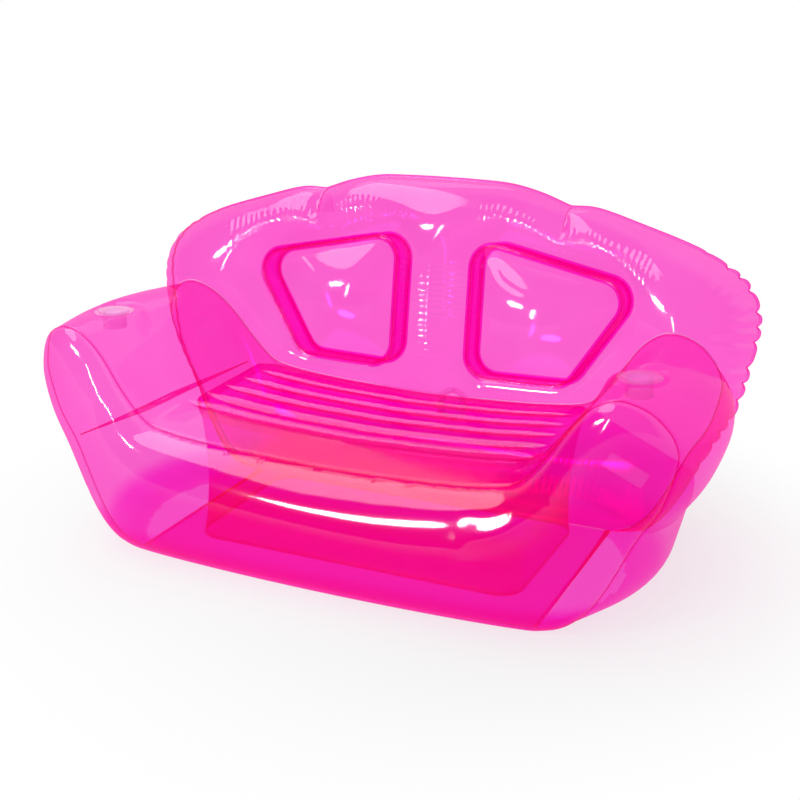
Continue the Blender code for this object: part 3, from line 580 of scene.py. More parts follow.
@dataclass(frozen=True)
class FilmFinish:
    """Tinted see-through film: what one face lets pass, a painted shade near the floor, its haze,
    gloss and small unevenness.
    """

    name: str
    tint: Colour
    slanted_tint: Colour
    # Painted shade: the deeper tint a film takes close to the floor, standing in for the shade
    # under the sofa.
    low_tint: Colour | None = None
    body: Colour = (1.0, 0.02, 0.36)
    haze: float = 0.005
    gloss: float = 0.0
    crown_gloss: float = 0.0
    edge_gloss: float = 0.0
    roughness: float = 0.15
    grain: float = 700.0
    ripple: float = 0.08
    # Heights over which the painted shade near the floor fades out.
    low_band: tuple[float, float] = (0.030, 0.072)
    ripple_height: float = 0.002
    cloud_powers: tuple[float, float] = (0.85, 1.15)
    slant_power: float = 2.5
    edge_power: float = 5.0
    crown_band: tuple[float, float] = (-0.02, 0.36)

    def build(self) -> bpy.types.Material:
        """Build the material.

        Returns:
            The new material.
        """
        made = bpy.data.materials.new(self.name)
        made.use_nodes = True
        tree = made.node_tree
        tree.nodes.clear()
        place = add_node(tree, "NodeTexCoord")
        surface = tree.nodes.new("ShaderNodeGroup")
        surface.node_tree = film_surface_group()
        tree.links.new(place.outputs["Object"], surface.inputs["Place"])
        for name, value in (("Grain Scale", self.grain), ("Roughness", self.roughness),
                            ("Low Start", self.low_band[0]), ("Low End", self.low_band[1])):
            surface.inputs[name].default_value = value
        bump = add_node(tree, "NodeBump", Strength=self.ripple, Distance=self.ripple_height,
                        Height=surface.outputs["Height"])
        facing = add_node(tree, "NodeLayerWeight", Blend=0.5).outputs["Facing"]
        worn = {"Roughness": surface.outputs["Roughness"], "Normal": bump.outputs["Normal"]}
        shader = self.passing(tree, surface, facing)
        if self.haze:
            plastic = add_node(tree, "NodeBsdfPrincipled", Base_Color=(*self.body, 1.0),
                               Specular_IOR_Level=0.1, **worn)
            shader = mix_shaders(tree, self.haze, shader, plastic)
        if self.gloss:
            mirror = add_node(tree, "NodeBsdfGlossy", Color=WHITE, **worn)
            share = add_node(tree, "NodeMapRange", To_Max=self.edge_gloss,
                             To_Min=self.polish(tree, place),
                             Value=math_node(tree, "POWER", facing, self.edge_power))
            shader = mix_shaders(tree, share.outputs[0], shader, mirror)
        add_node(tree, "NodeOutputMaterial", Surface=shader.outputs[0])
        return made

    def polish(self, tree: bpy.types.NodeTree, place: bpy.types.Node) -> bpy.types.NodeSocket:
        """Gloss seen straight on: more on film that faces up, where the blown wall is taut.

        Args:
            tree: Where the nodes go.
            place: Gives the direction in which the wall faces.

        Returns:
            The gloss's socket.
        """
        parts = add_node(tree, "NodeSeparateXYZ", Vector=place.outputs["Normal"])
        return ease_node(tree, parts.outputs["Z"], From_Min=self.crown_band[0],
                         From_Max=self.crown_band[1], To_Min=self.gloss,
                         To_Max=self.crown_gloss)

    def passing(self, tree: bpy.types.NodeTree, surface: bpy.types.Node,
                facing: bpy.types.NodeSocket) -> bpy.types.Node:
        """What shines through: straight through one face, deeper where it is seen aslant, and with
        painted shade close to the floor.

        Args:
            tree: Where the nodes go.
            surface: Gives the slow clouds of the tint and the share of painted shade near the
                floor.
            facing: Gives how far the face is turned away.

        Returns:
            The shader node.
        """
        tinting = tree.nodes.new("ShaderNodeMix")
        # lower mixes in the painted shade: a deeper tint close to the floor.
        lower = tree.nodes.new("ShaderNodeMix")
        for node in (tinting, lower):
            node.data_type = "RGBA"
        for socket, power in zip("AB", self.cloud_powers):
            tinting.inputs[socket].default_value = (*(v ** power for v in self.tint), 1.0)
        lower.inputs["B"].default_value = (*(self.low_tint or self.tint), 1.0)
        tree.links.new(surface.outputs["Cloud"], tinting.inputs["Factor"])
        tree.links.new(surface.outputs["Low"], lower.inputs["Factor"])
        tree.links.new(tinting.outputs["Result"], lower.inputs["A"])
        straight = add_node(tree, "NodeBsdfTransparent", Color=lower.outputs["Result"])
        slanted = add_node(tree, "NodeBsdfTransparent", Color=(*self.slanted_tint, 1.0))
        return mix_shaders(tree, math_node(tree, "POWER", facing, self.slant_power), straight,
                           slanted)


def film_surface_group() -> bpy.types.NodeTree:
    """The node group for cast film: slow clouds in its tint, fine grain, soft flow marks, and how
    much painted shade falls near the floor.

    Returns:
        The group, built once.
    """
    name = "film_surface"
    if name in bpy.data.node_groups:
        return bpy.data.node_groups[name]
    group = bpy.data.node_groups.new(name, "ShaderNodeTree")
    group.interface.new_socket("Place", in_out="INPUT", socket_type="NodeSocketVector")
    for side, sockets in (("INPUT", ("Grain Scale", "Roughness", "Low Start", "Low End")),
                          ("OUTPUT", ("Height", "Roughness", "Cloud", "Low"))):
        for socket in sockets:
            group.interface.new_socket(socket, in_out=side, socket_type="NodeSocketFloat")
    given = group.nodes.new("NodeGroupInput").outputs
    place = given["Place"]
    cloud = add_node(group, "NodeTexNoise", Scale=5.0, Detail=2.0, Vector=place).outputs["Fac"]
    grain = add_node(group, "NodeTexNoise", Detail=3.0, Scale=given["Grain Scale"],
                     Vector=place).outputs["Fac"]
    slow = add_node(group, "NodeTexNoise", Scale=14.0, Detail=1.0, Vector=place).outputs["Fac"]
    parts = add_node(group, "NodeSeparateXYZ", Vector=place)
    results = {
        "Height": math_node(group, "MULTIPLY_ADD", grain, 0.12, slow),
        "Roughness": math_node(group, "MULTIPLY_ADD", grain, 0.03, given["Roughness"]),
        "Cloud": cloud,
        # Share of painted shade: 1 at the floor, fading to 0 over the low band.
        "Low": ease_node(group, parts.outputs["Z"], From_Min=given["Low Start"],
                         From_Max=given["Low End"], To_Min=1.0, To_Max=0.0),
    }
    given_out = group.nodes.new("NodeGroupOutput")
    for name, value in results.items():
        group.links.new(value, given_out.inputs[name])
    return group


# The third colour is painted shade: the tint the sheets take within a few centimetres of the floor,
# where the shade under the sofa falls.
PANEL_FILM = FilmFinish(
    "panel_film", (1.0, 0.590, 0.892), (1.0, 0.55, 0.86), (1.0, 0.25, 0.85), (1.0, 0.03, 0.42),
    haze=0.004, gloss=0.004, crown_gloss=0.037, edge_gloss=0.18, roughness=0.075, grain=900.0,
    ripple=0.05)
PANEL_INSIDE = replace(PANEL_FILM, name="panel_film_inside", haze=0.0, gloss=0.0, roughness=0.12)
SEAT_FILM = replace(PANEL_FILM, name="seat_film", crown_gloss=0.020)
# Painted shade: below 0.034 to 0.090 m the front panel takes a nearly solid tint, standing in for
# the shaded ground seen through it.
FRONT_FILM = replace(
    PANEL_FILM, name="front_film", tint=(1.0, 0.610, 0.895), slanted_tint=(1.0, 0.48, 0.84),
    low_tint=(1.0, 0.04, 0.77), low_band=(0.034, 0.090))
FRONT_INSIDE = replace(FRONT_FILM, name="front_film_inside", haze=0.0, gloss=0.0, roughness=0.12)
# Painted shade: the floor panel's deep tint stands in for the ground beneath the sofa, which is lit
# only through the films above it.
SHADED_FLOOR_FILM = FilmFinish(
    "floor_film", (1.0, 0.05, 0.66), (1.0, 0.04, 0.70), haze=0.004, roughness=0.20, grain=600.0,
    ripple=0.10)
# Painted shade: below about 0.09 to 0.14 m the baffle takes a deeper tint, for the shade under the
# seat.
BAFFLE_FILM = FilmFinish(
    "baffle_film", (1.0, 0.37, 0.960), (1.0, 0.20, 0.91), (1.0, 0.27, 0.81),
    low_band=(0.09, 0.14))
WEB_FILM = FilmFinish("web_film", (1.0, 0.25, 0.98), (1.0, 0.28, 0.95))
ARM_WEB_FILM = FilmFinish("arm_web_film", (1.0, 0.72, 0.955), (1.0, 0.28, 0.80))
SIDE_WEB_FILM = FilmFinish("side_web_film", (1.0, 0.50, 0.965), (1.0, 0.40, 0.94))
TIE_FILM = FilmFinish("tie_film", (1.0, 0.93, 0.985), (1.0, 0.75, 0.95), haze=0.004)
BAND_FILM = FilmFinish(
    "band_film", (1.0, 0.21, 0.88), (1.0, 0.06, 0.77), haze=0.006, gloss=0.004,
    crown_gloss=0.020, edge_gloss=0.25, roughness=0.10)
# The third colour is painted shade: beads close to the floor take a deeper tint.
WELD_FILM = FilmFinish(
    "weld_film", (1.0, 0.30, 0.78), (0.98, 0.06, 0.60), (1.0, 0.22, 0.78), (1.0, 0.02, 0.34),
    haze=0.03, gloss=0.004, crown_gloss=0.020, edge_gloss=0.20, grain=500.0, ripple=0.10)
LIP_FILM = FilmFinish(
    "lip_film", (1.0, 0.80, 0.95), (1.0, 0.60, 0.90), body=(1.0, 0.62, 0.85), haze=0.35,
    gloss=0.02, crown_gloss=0.030, edge_gloss=0.40, roughness=0.20, grain=500.0, ripple=0.10)
VALVE_PLASTIC = FilmFinish(
    "valve_plastic", (1.0, 0.93, 0.985), (0.98, 0.70, 0.92), body=(0.95, 0.80, 1.0), haze=0.05,
    gloss=0.02, crown_gloss=0.050, edge_gloss=0.50, roughness=0.12, grain=400.0, ripple=0.10)


class Finishes:
    """The materials in use, each built once."""

    def __init__(self) -> None:
        """Starts with none."""
        self.made: dict[str, bpy.types.Material] = {}

    def get(self, finish: FilmFinish) -> bpy.types.Material:
        """The material of a finish.

        Args:
            finish: The finish wanted.

        Returns:
            Its material.
        """
        if finish.name not in self.made:
            self.made[finish.name] = finish.build()
        return self.made[finish.name]


# ---- Making pieces


class Workshop:
    """Makes meshes into finished pieces that ride on the part's bodies."""

    def __init__(self, finishes: Finishes, depth_shift: float) -> None:
        """Take the materials, and what is added to every depth."""
        self.finishes = finishes
        self.depth_shift = depth_shift

    def select(self, item: bpy.types.Object) -> None:
        """Select one object alone and make it the active one.

        Args:
            item: The object.
        """
        bpy.ops.object.select_all(action="DESELECT")
        item.select_set(True)
        bpy.context.view_layer.objects.active = item

    def mesh(self, name: str, places: np.ndarray, faces: list) -> bpy.types.Object:
        """A new object from places and faces.

        Args:
            name: Piece name.
            places: Points in space, before the depth shift.
            faces: Corners of each face.

        Returns:
            The object.
        """
        places = np.array(places, float) + (0.0, self.depth_shift, 0.0)
        data = bpy.data.meshes.new(name)
        data.from_pydata(places.tolist(), [], [tuple(int(i) for i in face) for face in faces])
        item = bpy.data.objects.new(name, data)
        bpy.context.collection.objects.link(item)
        return item

    def finish(self, item: bpy.types.Object, finish: FilmFinish,
               replaced: tuple[str, ...] = ()) -> bpy.types.Object:
        """Dress a piece and let it ride.

        Args:
            item: The piece.
            finish: What it is made of, where its mesh doesn't say so already.
            replaced: Nodes that it stands for.

        Returns:
            The piece.
        """
        if not item.data.materials:
            item.data.materials.append(self.finishes.get(finish))
        item.data.shade_smooth()
        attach(item, BODY)
        if replaced:
            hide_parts(*replaced)
        LOG.info("%s: %d faces", item.name, len(item.data.polygons))
        return item

    def film(self, name: str, places: np.ndarray, faces: list, outward: Outward | None,
             finish: FilmFinish, replaced: tuple[str, ...] = (), mirrored: bool = False,
             inside_finish: FilmFinish | None = None) -> bpy.types.Object:
        """A film panel with a real wall, mirrored where asked.

        Args:
            name: Piece name.
            places: Its points in space.
            faces: Its faces.
            outward: Gives the outward direction at a place, or None for an inner film.
            finish: What it is made of.
            replaced: Nodes that it stands for.
            mirrored: Whether the other half is its mirror image.
            inside_finish: What the face towards the air inside is made of, if it differs.

        Returns:
            The finished piece.
        """
        item = self.mesh(name, places, faces)
        self.select(item)
        bpy.ops.object.mode_set(mode="EDIT")
        bpy.ops.mesh.select_all(action="SELECT")
        bpy.ops.mesh.delete_loose()
        bpy.ops.mesh.select_all(action="SELECT")
        bpy.ops.mesh.normals_make_consistent(inside=False)
        bpy.ops.object.mode_set(mode="OBJECT")
        if outward is not None:
            largest = max(item.data.polygons, key=lambda face: face.area)
            if largest.normal.dot(Vector(outward(largest.center))) < 0:
                item.data.flip_normals()
        if mirrored:
            mirror = item.modifiers.new("other_half", "MIRROR")
            mirror.merge_threshold = TINY
            bpy.ops.object.modifier_apply(modifier="other_half")
        wall = item.modifiers.new("wall", "SOLIDIFY")
        wall.thickness = FILM
        wall.offset = 1.0 if outward is not None else 0.0
        if inside_finish is not None:
            for given in (finish, inside_finish):
                item.data.materials.append(self.finishes.get(given))
            wall.material_offset = 1
        bpy.ops.object.modifier_apply(modifier="wall")
        return self.finish(item, finish, replaced)

    def strip(self, name: str, rows: list, finish: FilmFinish, replaced: tuple[str, ...] = (),
              closed: bool = False, mirrored: bool = False,
              open_cells: frozenset = frozenset()) -> bpy.types.Object:
        """A film strip through rows of places.

        Args:
            name: Piece name.
            rows: Rows of places, all of one count.
            finish: What it is made of.
            replaced: Nodes that it stands for.
            closed: Whether each row closes on itself.
            mirrored: Whether the other half is its mirror image.
            open_cells: Cells, as row and step, that are left open.

        Returns:
            The finished piece.
        """
        faces = [corners for level, step, corners in cells(len(rows), len(rows[0]), closed)
                 if (level, step) not in open_cells]
        return self.film(name, np.vstack(rows), faces, None, finish, replaced, mirrored)

    def rod(self, name: str, paths: list[np.ndarray], radius: float, finish: FilmFinish,
            closed: bool = False) -> bpy.types.Object:
        """Round beads along paths, as one piece.

        Args:
            name: Piece name.
            paths: The paths in space, before the depth shift.
            radius: Radius of the beads.
            finish: What they are made of.
            closed: Whether each path closes on itself.

        Returns:
            The finished piece.
        """
        line = bpy.data.curves.new(name, "CURVE")
        line.dimensions = "3D"
        line.bevel_depth = radius
        line.bevel_resolution = 2
        line.use_fill_caps = not closed
        for path in paths:
            spline = line.splines.new("POLY")
            spline.points.add(len(path) - 1)
            for point, place in zip(spline.points, path):
                point.co = (place[0], place[1] + self.depth_shift, place[2], 1.0)
            spline.use_cyclic_u = closed
        item = bpy.data.objects.new(name, line)
        bpy.context.collection.objects.link(item)
        self.select(item)
        bpy.ops.object.convert(target="MESH")
        return self.finish(bpy.context.object, finish)


# ---- Base with arms


@dataclass(frozen=True)
class BaseSizes:
    """Sizes of the seat box and the arms, in metres and shares of them."""

    half_width: float = 0.706
    arm_height: float = 0.488
    seat_height: float = 0.264
    depth: float = 0.510
    arm_top_depth: float = 0.455
    rear_width_share: float = 0.970
    front_bulge: float = 0.090
    flank_setback: float = 0.045
    corner_setback: float = 0.012
    floor_bow: float = 0.010
    seam_spacing: float = 0.010
    rim_offsets: tuple[float, ...] = (0.0012, 0.004, 0.009, 0.016)
    panel_spacing: float = 0.012
    swell_keys: tuple[float, ...] = (0.0, 0.0, 0.002, 0.062, 0.048, 0.078, 0.008)
    baffle_half_length: float = 0.412
    baffle_front: float = 0.150
    baffle_rear_margin: float = 0.016
    baffle_foot_half_length: float = 0.382
    baffle_foot_front: float = 0.106
    baffle_corner: float = 0.050
    baffle_spacing: float = 0.004
    baffle_steps: int = 121
    baffle_rows: int = 17
    baffle_waist: float = 0.015
    web_waist_share: float = 0.025
    crease_spacing: float = 0.0035
    fold_fade_share: float = 0.2
    baffle_straight_share: float = 0.850
    web_count: int = 4
    channel_crown: float = 0.013
    front_crown: float = 0.020
    front_squareness: float = 14.0
    front_peak: float = 0.77
    front_steps: int = 20
    front_step_power: float = 0.8
    rib_steps: int = 14
    sheet_columns: int = 150
    sheet_seat_share: float = 0.62
    first_squareness: float = 2.2
    squareness: float = 6.0
    arm_web_inner: float = 0.436
    arm_web_outer_up_share: float = 0.830
    arm_web_start: float = 0.030
    arm_web_end: float = 0.425
    hem_share: float = 0.060
    hem_rows: int = 4
    web_rows: int = 13
    web_columns: int = 40
    weld_columns: int = 60
    floor_rows: int = 9
    floor_spacing: float = 0.02
    arm_web_levels: int = 24
    arm_web_columns: int = 91
    weld_half_width: float = 0.0032
    weld_depth: float = 0.0012
    seat_bead: float = 0.0009
    front_bead: float = 0.0012
    floor_bead: float = 0.0006
    web_edge_bead: float = 0.0013
    slot_bead: float = 0.0010
    slot_levels: tuple[int, int] = (8, 16)
    slot_steps: tuple[int, int] = (40, 60)
    valve_across: float = 0.600
    valve_depth: float = 0.155
    valve_spot: float = 0.048
    valve_blend: float = 0.030
    valve_hole: float = 0.0290
    valve_edge: float = 0.005

    @property
    def arm_rise(self) -> float:
        """Height of the arm over the seat."""
        return self.arm_height - self.seat_height


ARM_OUTLINE: tuple[Point, ...] = (
    (0.000, 0.00), (0.230, 0.02), (0.403, 0.05), (0.534, 0.10), (0.600, 0.18), (0.667, 0.41),
    (0.742, 0.76), (0.803, 0.94), (0.864, 1.00), (0.927, 0.93), (0.973, 0.77), (0.997, 0.60),
    (1.000, 0.47), (0.983, 0.23), (0.958, 0.02),
)
FRONT_CREASES = (
    Crease(((-0.24, 0.312), (-0.10, 0.293), (0.02, 0.280), (0.17, 0.263), (0.29, 0.259),
            (0.35, 0.268), (0.39, 0.289), (0.43, 0.318)), 0.0055, -0.0030),
    Crease(((-0.42, 0.215), (-0.10, 0.190), (0.10, 0.178), (0.26, 0.176), (0.44, 0.200)),
           0.055, 0.0110),
    Crease(((0.318, 0.262), (0.336, 0.230), (0.350, 0.196), (0.356, 0.168)), 0.028, -0.0024),
    Crease(((0.33, 0.20), (0.42, 0.235), (0.50, 0.30)), 0.014, 0.0030),
    Crease(((-0.60, 0.20), (-0.55, 0.26), (-0.50, 0.35)), 0.030, -0.0030),
    Crease(((0.56, 0.14), (0.60, 0.24), (0.58, 0.36)), 0.030, -0.0025),
)
SIDE_OUTLINE: tuple[Point, ...] = (
    (0.910, 0.81), (0.871, 0.59), (0.831, 0.37), (0.784, 0.18), (0.725, 0.05), (0.653, 0.00),
)


class Base:
    """The seat box with both arms: panels, ribbed seat, baffle, webs and seams."""

    least_area = 1e-9
    swell_steps = 400
    soft_steps = 25

    def __init__(self, sizes: BaseSizes, shop: Workshop, spot_height: float) -> None:
        """Lay out the base's outlines.

        Args:
            sizes: Its sizes.
            shop: Makes its pieces.
            spot_height: Height of the film under an arm valve.
        """
        self.sizes = sizes
        self.shop = shop
        size = sizes
        upper = [(x * size.half_width, size.seat_height + up * size.arm_rise)
                 for x, up in ARM_OUTLINE]
        lower = [(x * size.half_width, FILM + up * (size.seat_height - FILM))
                 for x, up in SIDE_OUTLINE]
        self.path = smooth_path(upper + lower, size.seam_spacing)
        self.length = path_length(self.path)
        ahead = np.gradient(self.path, axis=0)
        self.normal = np.column_stack([-ahead[:, 1], ahead[:, 0]])
        self.normal /= np.linalg.norm(self.normal, axis=1)[:, None]
        self.normal[0] = (0.0, 1.0)
        self.top = self.length[np.argmax(self.path[:, 1])]
        self.widest = self.length[np.argmax(self.path[:, 0])]
        self.front = self.front_depth()
        share = np.clip((self.path[:, 1] - size.seat_height) / size.arm_rise, 0.0, 1.0)
        self.rear = size.depth - (size.depth - size.arm_top_depth) * share ** 2
        self.spot_height = spot_height

    def front_depth(self) -> np.ndarray:
        """How far the front seam is drawn back.

        Returns:
            One depth for each point of the half outline.
        """
        rise = smooth_step((self.length - self.top) / (self.widest - self.top))
        fall = np.clip((self.length - self.widest) / (self.length[-1] - self.widest), 0.0, 1.0)
        drop = self.sizes.flank_setback - self.sizes.corner_setback
        return self.sizes.flank_setback * rise - drop * fall * fall

    def floor_front(self) -> tuple[np.ndarray, np.ndarray]:
        """The floor's front edge, from the outline's end to the middle.

        Returns:
            Its points seen from the front, and the depth of each.
        """
        line = even_steps(np.array([self.path[-1], (0.0, FILM)]), self.sizes.seam_spacing)
        bow = self.sizes.corner_setback + self.sizes.floor_bow
        return line, bow * (line[:, 0] / self.path[-1, 0]) ** 2 - self.sizes.floor_bow

    def before_top(self, value: float, axis: int) -> float:
        """Distance along the half outline to a place before the arm's top, by one coordinate."""
        chosen = self.length <= self.top
        return float(np.interp(value, self.path[chosen, axis], self.length[chosen]))

    def web_outer(self) -> float:
        """Where the arm web's outer weld lies.

        Returns:
            Distance along the half outline.
        """
        after = self.length >= self.top
        height = self.path[after, 1][::-1]
        wanted = self.sizes.arm_web_outer_up_share * self.sizes.seat_height
        return float(np.interp(wanted, height, self.length[after][::-1]))

    def weld_lines(self) -> np.ndarray:
        """Depths of the seat's weld lines: baffle front, each web, baffle rear."""
        last = self.sizes.depth - self.sizes.baffle_rear_margin
        return np.linspace(self.sizes.baffle_front, last, self.sizes.web_count + 2)

    def crown(self, across: np.ndarray, back: np.ndarray) -> np.ndarray:
        """Rise of the seat between its weld lines.

        Args:
            across: Distance from the middle.
            back: Depth on the sheet.

        Returns:
            The rise of each point.
        """
        lines = self.weld_lines()
        size = self.sizes
        front = np.clip(back / lines[0], 0.0, 1.0)
        rise = size.front_crown * front * (1 - front ** size.front_squareness) / size.front_peak
        for number, (near, far) in enumerate(zip(lines, lines[1:])):
            off = np.clip(2 * (back - near) / (far - near) - 1, -1.0, 1.0)
            square = size.first_squareness if number == 0 else size.squareness
            rise += size.channel_crown * (1 - np.abs(off) ** square)
        flat = self.sizes.baffle_half_length * (1 - self.sizes.baffle_straight_share)
        end = (self.sizes.baffle_half_length - across) / flat
        return rise * np.sqrt(np.clip(end, 0.0, 1.0))

    def place(self, flat: np.ndarray) -> np.ndarray:
        """Places in space of points of the long sheet.

        Args:
            flat: Distance along the half outline, and depth.

        Returns:
            The places, on the sheet's inner face.
        """
        size = self.sizes
        along = flat[:, 0]
        across = np.interp(along, self.length, self.path[:, 0])
        height = np.interp(along, self.length, self.path[:, 1])
        side = np.column_stack([np.interp(along, self.length, self.normal[:, i]) for i in (0, 1)])
        side /= np.linalg.norm(side, axis=1)[:, None]
        front = np.interp(along, self.length, self.front)
        share = flat[:, 1] / np.interp(along, self.length, self.rear)
        keys = (0.0, self.before_top(size.baffle_half_length, 0), self.top, self.widest,
                self.web_outer(), (self.web_outer() + self.length[-1]) / 2, self.length[-1])
        fine = np.linspace(0.0, self.length[-1], self.swell_steps)
        eased = np.pad(np.interp(fine, keys, size.swell_keys), self.soft_steps // 2, mode="edge")
        soft = np.convolve(eased, np.full(self.soft_steps, 1 / self.soft_steps), mode="valid")
        swell = np.interp(along, fine, soft) * 4 * share * (1 - share)
        swell += self.crown(across, flat[:, 1])
        across = across * (1 - (1 - size.rear_width_share) * share) + side[:, 0] * swell
        height = np.maximum(height + side[:, 1] * swell, FILM)
        depth = WELD_GAP + flat[:, 1] * (1 - 2 * WELD_GAP / size.depth) + front * (1 - share)
        spot = np.hypot(across - size.valve_across, depth - size.valve_depth)
        blend = smooth_step((spot - size.valve_spot - TINY) / size.valve_blend)
        blend = np.where(height > size.seat_height + size.arm_rise / 2, blend, 1.0)
        height = self.spot_height + (height - self.spot_height) * blend
        return np.column_stack([across, depth, height])

    def on_seat(self, path: np.ndarray) -> np.ndarray:
        """Turn seat points into points of the long sheet.

        Args:
            path: Across and depth of each point.

        Returns:
            Distance along the half outline and depth of each.
        """
        narrowing = 1 - (1 - self.sizes.rear_width_share) * path[:, 1] / self.sizes.depth
        chosen = self.length <= self.top
        along = np.interp(path[:, 0] / narrowing, self.path[chosen, 0], self.length[chosen])
        return np.column_stack([along, path[:, 1]])

    def baffle_loop(self, half_length: float, front: float) -> np.ndarray:
        """Half of the baffle's outline from above, from its front middle to its rear middle.

        Args:
            half_length: Half its length across the sofa.
            front: Depth of its front.

        Returns:
            Across and depth of each point.
        """
        rear = self.sizes.depth - self.sizes.baffle_rear_margin
        corners = [(-half_length, front), (half_length, front), (half_length, rear),
                   (-half_length, rear)]
        loop = rounded_loop(np.array(corners), self.sizes.baffle_corner,
                            self.sizes.baffle_spacing)
        side = loop[loop[:, 0] > 0.5 * half_length]
        order = np.argsort(np.arctan2(side[:, 0], (front + rear) / 2 - side[:, 1]))
        whole = np.vstack([(0.0, front), side[order], (0.0, rear)])
        length = path_length(whole)
        places = np.linspace(0.0, length[-1], self.sizes.baffle_steps)
        return np.column_stack([np.interp(places, length, whole[:, i]) for i in (0, 1)])

    def front_panel(self) -> None:
        """The panel that closes the base and both arms, blown forward."""
        size = self.sizes
        floor_line, floor_depth = self.floor_front()
        edge = np.vstack([self.path, floor_line[1:]])
        edge_depth = np.concatenate([self.front, floor_depth[1:]])
        rims = [inset_path(edge, offset) for offset in size.rim_offsets]
        middle_top = [(0.0, edge[0, 1] - offset) for offset in size.rim_offsets]
        middle_low = [(0.0, edge[-1, 1] + offset) for offset in size.rim_offsets[::-1]]
        between = even_steps(np.array([middle_low[0], middle_top[-1]]), size.panel_spacing)
        outline = np.vstack([edge, middle_low[::-1][:-1], between, middle_top[::-1][1:]])
        zones = tuple((crease.zone, size.crease_spacing) for crease in FRONT_CREASES)
        points, faces = Cut(outline, size.panel_spacing, extra=tuple(r[1:-1] for r in rims),
                            zones=zones).fill()
        seam = nearest(points, edge)
        film = Membrane(points, faces)
        height = film.solve({index: 0.0 for index in seam}, np.ones(len(faces)))
        drawn = film.solve(dict(zip(seam, edge_depth)), np.zeros(len(faces)), power=1)
        swell = (size.front_bulge - FILM - WELD_GAP) / (height - drawn).max()
        depth = drawn - WELD_GAP - height * swell
        points, faces, source = both_halves(points, faces)
        folds = sum(crease.read(points) for crease in FRONT_CREASES)
        fade = smooth_step(height[source] / (size.fold_fade_share * height.max()))
        depth = depth[source] - folds * fade
        places = np.column_stack([points[:, 0], depth, points[:, 1]])
        self.shop.film("front_film", places, faces, lambda place: (0.0, -1.0, 0.0), FRONT_FILM,
                       ("front_panel",), inside_finish=FRONT_INSIDE)

    def long_sheet(self) -> None:
        """The sheet from floor to floor over both arms and the seat, with its ribbed seat."""
        size = self.sizes
        lines = self.weld_lines()
        steps = np.linspace(0.0, 1.0, size.front_steps + 1)[:-1]
        rows = [lines[0] * steps ** size.front_step_power]
        for near, far in zip(lines, lines[1:]):
            rows.append(near + (far - near) * np.linspace(0.0, 1.0, size.rib_steps + 1)[:-1])
        back = np.concatenate(rows + [[lines[-1], size.depth]]) / size.depth
        columns = np.linspace(0.0, self.length[-1], size.sheet_columns)
        flat = np.array([(along, share * np.interp(along, self.length, self.rear))
                         for share in back for along in columns])
        across = np.interp(flat[:, 0], self.length, self.path[:, 0])
        flat[:, 1] = np.where(across < size.half_width * size.sheet_seat_share,
                              np.repeat(back, len(columns)) * size.depth, flat[:, 1])
        places = self.place(flat)
        valve = (size.valve_across, size.valve_depth)
        arm = size.seat_height + size.arm_rise / 2
        faces = []
        for _, _, corners in cells(len(back), len(columns)):
            middle = places[list(corners)].mean(axis=0)
            if math.dist(middle[:2], valve) >= size.valve_hole or middle[2] <= arm:
                faces.append(corners)
        away = places[:, :2] - valve
        distance = np.linalg.norm(away, axis=1)
        edge = (places[:, 2] > arm) & (distance < size.valve_hole + size.valve_edge)
        edge &= np.isin(np.arange(len(places)), np.array(faces))
        places[edge, :2] = valve + away[edge] * (size.valve_hole / distance[edge])[:, None]
        self.shop.film("seat_and_arm_film", places, faces, self.outward, SEAT_FILM,
                       ("arm_and_seat_sheet",), mirrored=True, inside_finish=PANEL_INSIDE)

    def outward(self, place: Vector) -> tuple[float, float, float]:
        """Outward direction over the base: away from a line through the middle of each half."""
        return place.x - self.sizes.half_width / 2, 0.0, place.z - self.sizes.seat_height / 2

    def floor(self) -> None:
        """The flat panel that the sofa stands on."""
        size = self.sizes
        start = np.array([self.length[-1], 0.0])
        end = np.array([self.length[-1], self.rear[-1]])
        side = even_steps(np.array([start, end]), size.floor_spacing)
        edge = self.place(side) - (2 * WELD_GAP, 0.0, 0.0)
        line, depth = self.floor_front()
        front = np.column_stack([line[::-1][:-1, 0], depth[::-1][:-1] + 2 * WELD_GAP])
        top = size.depth - WELD_GAP
        outer = np.vstack([front, [(x, min(max(y, edge[0, 1] + WELD_GAP), top))
                                   for x, y, _ in edge]])
        rows = [np.column_stack([outer[:, 0], outer[:, 1] + (top - outer[:, 1]) * share,
                                 np.full(len(outer), FILM)])
                for share in np.linspace(0.0, 1.0, size.floor_rows)]
        places = np.vstack(rows)
        faces = []
        for _, _, corners in cells(len(rows), len(outer)):
            first, second, third, fourth = places[list(corners)]
            if np.linalg.norm(np.cross(third - first, fourth - second)) > self.least_area:
                faces.append(corners)
        self.shop.film("floor_film", places, faces, lambda place: (0.0, 0.0, -1.0),
                       SHADED_FLOOR_FILM, ("floor_panel",), mirrored=True)

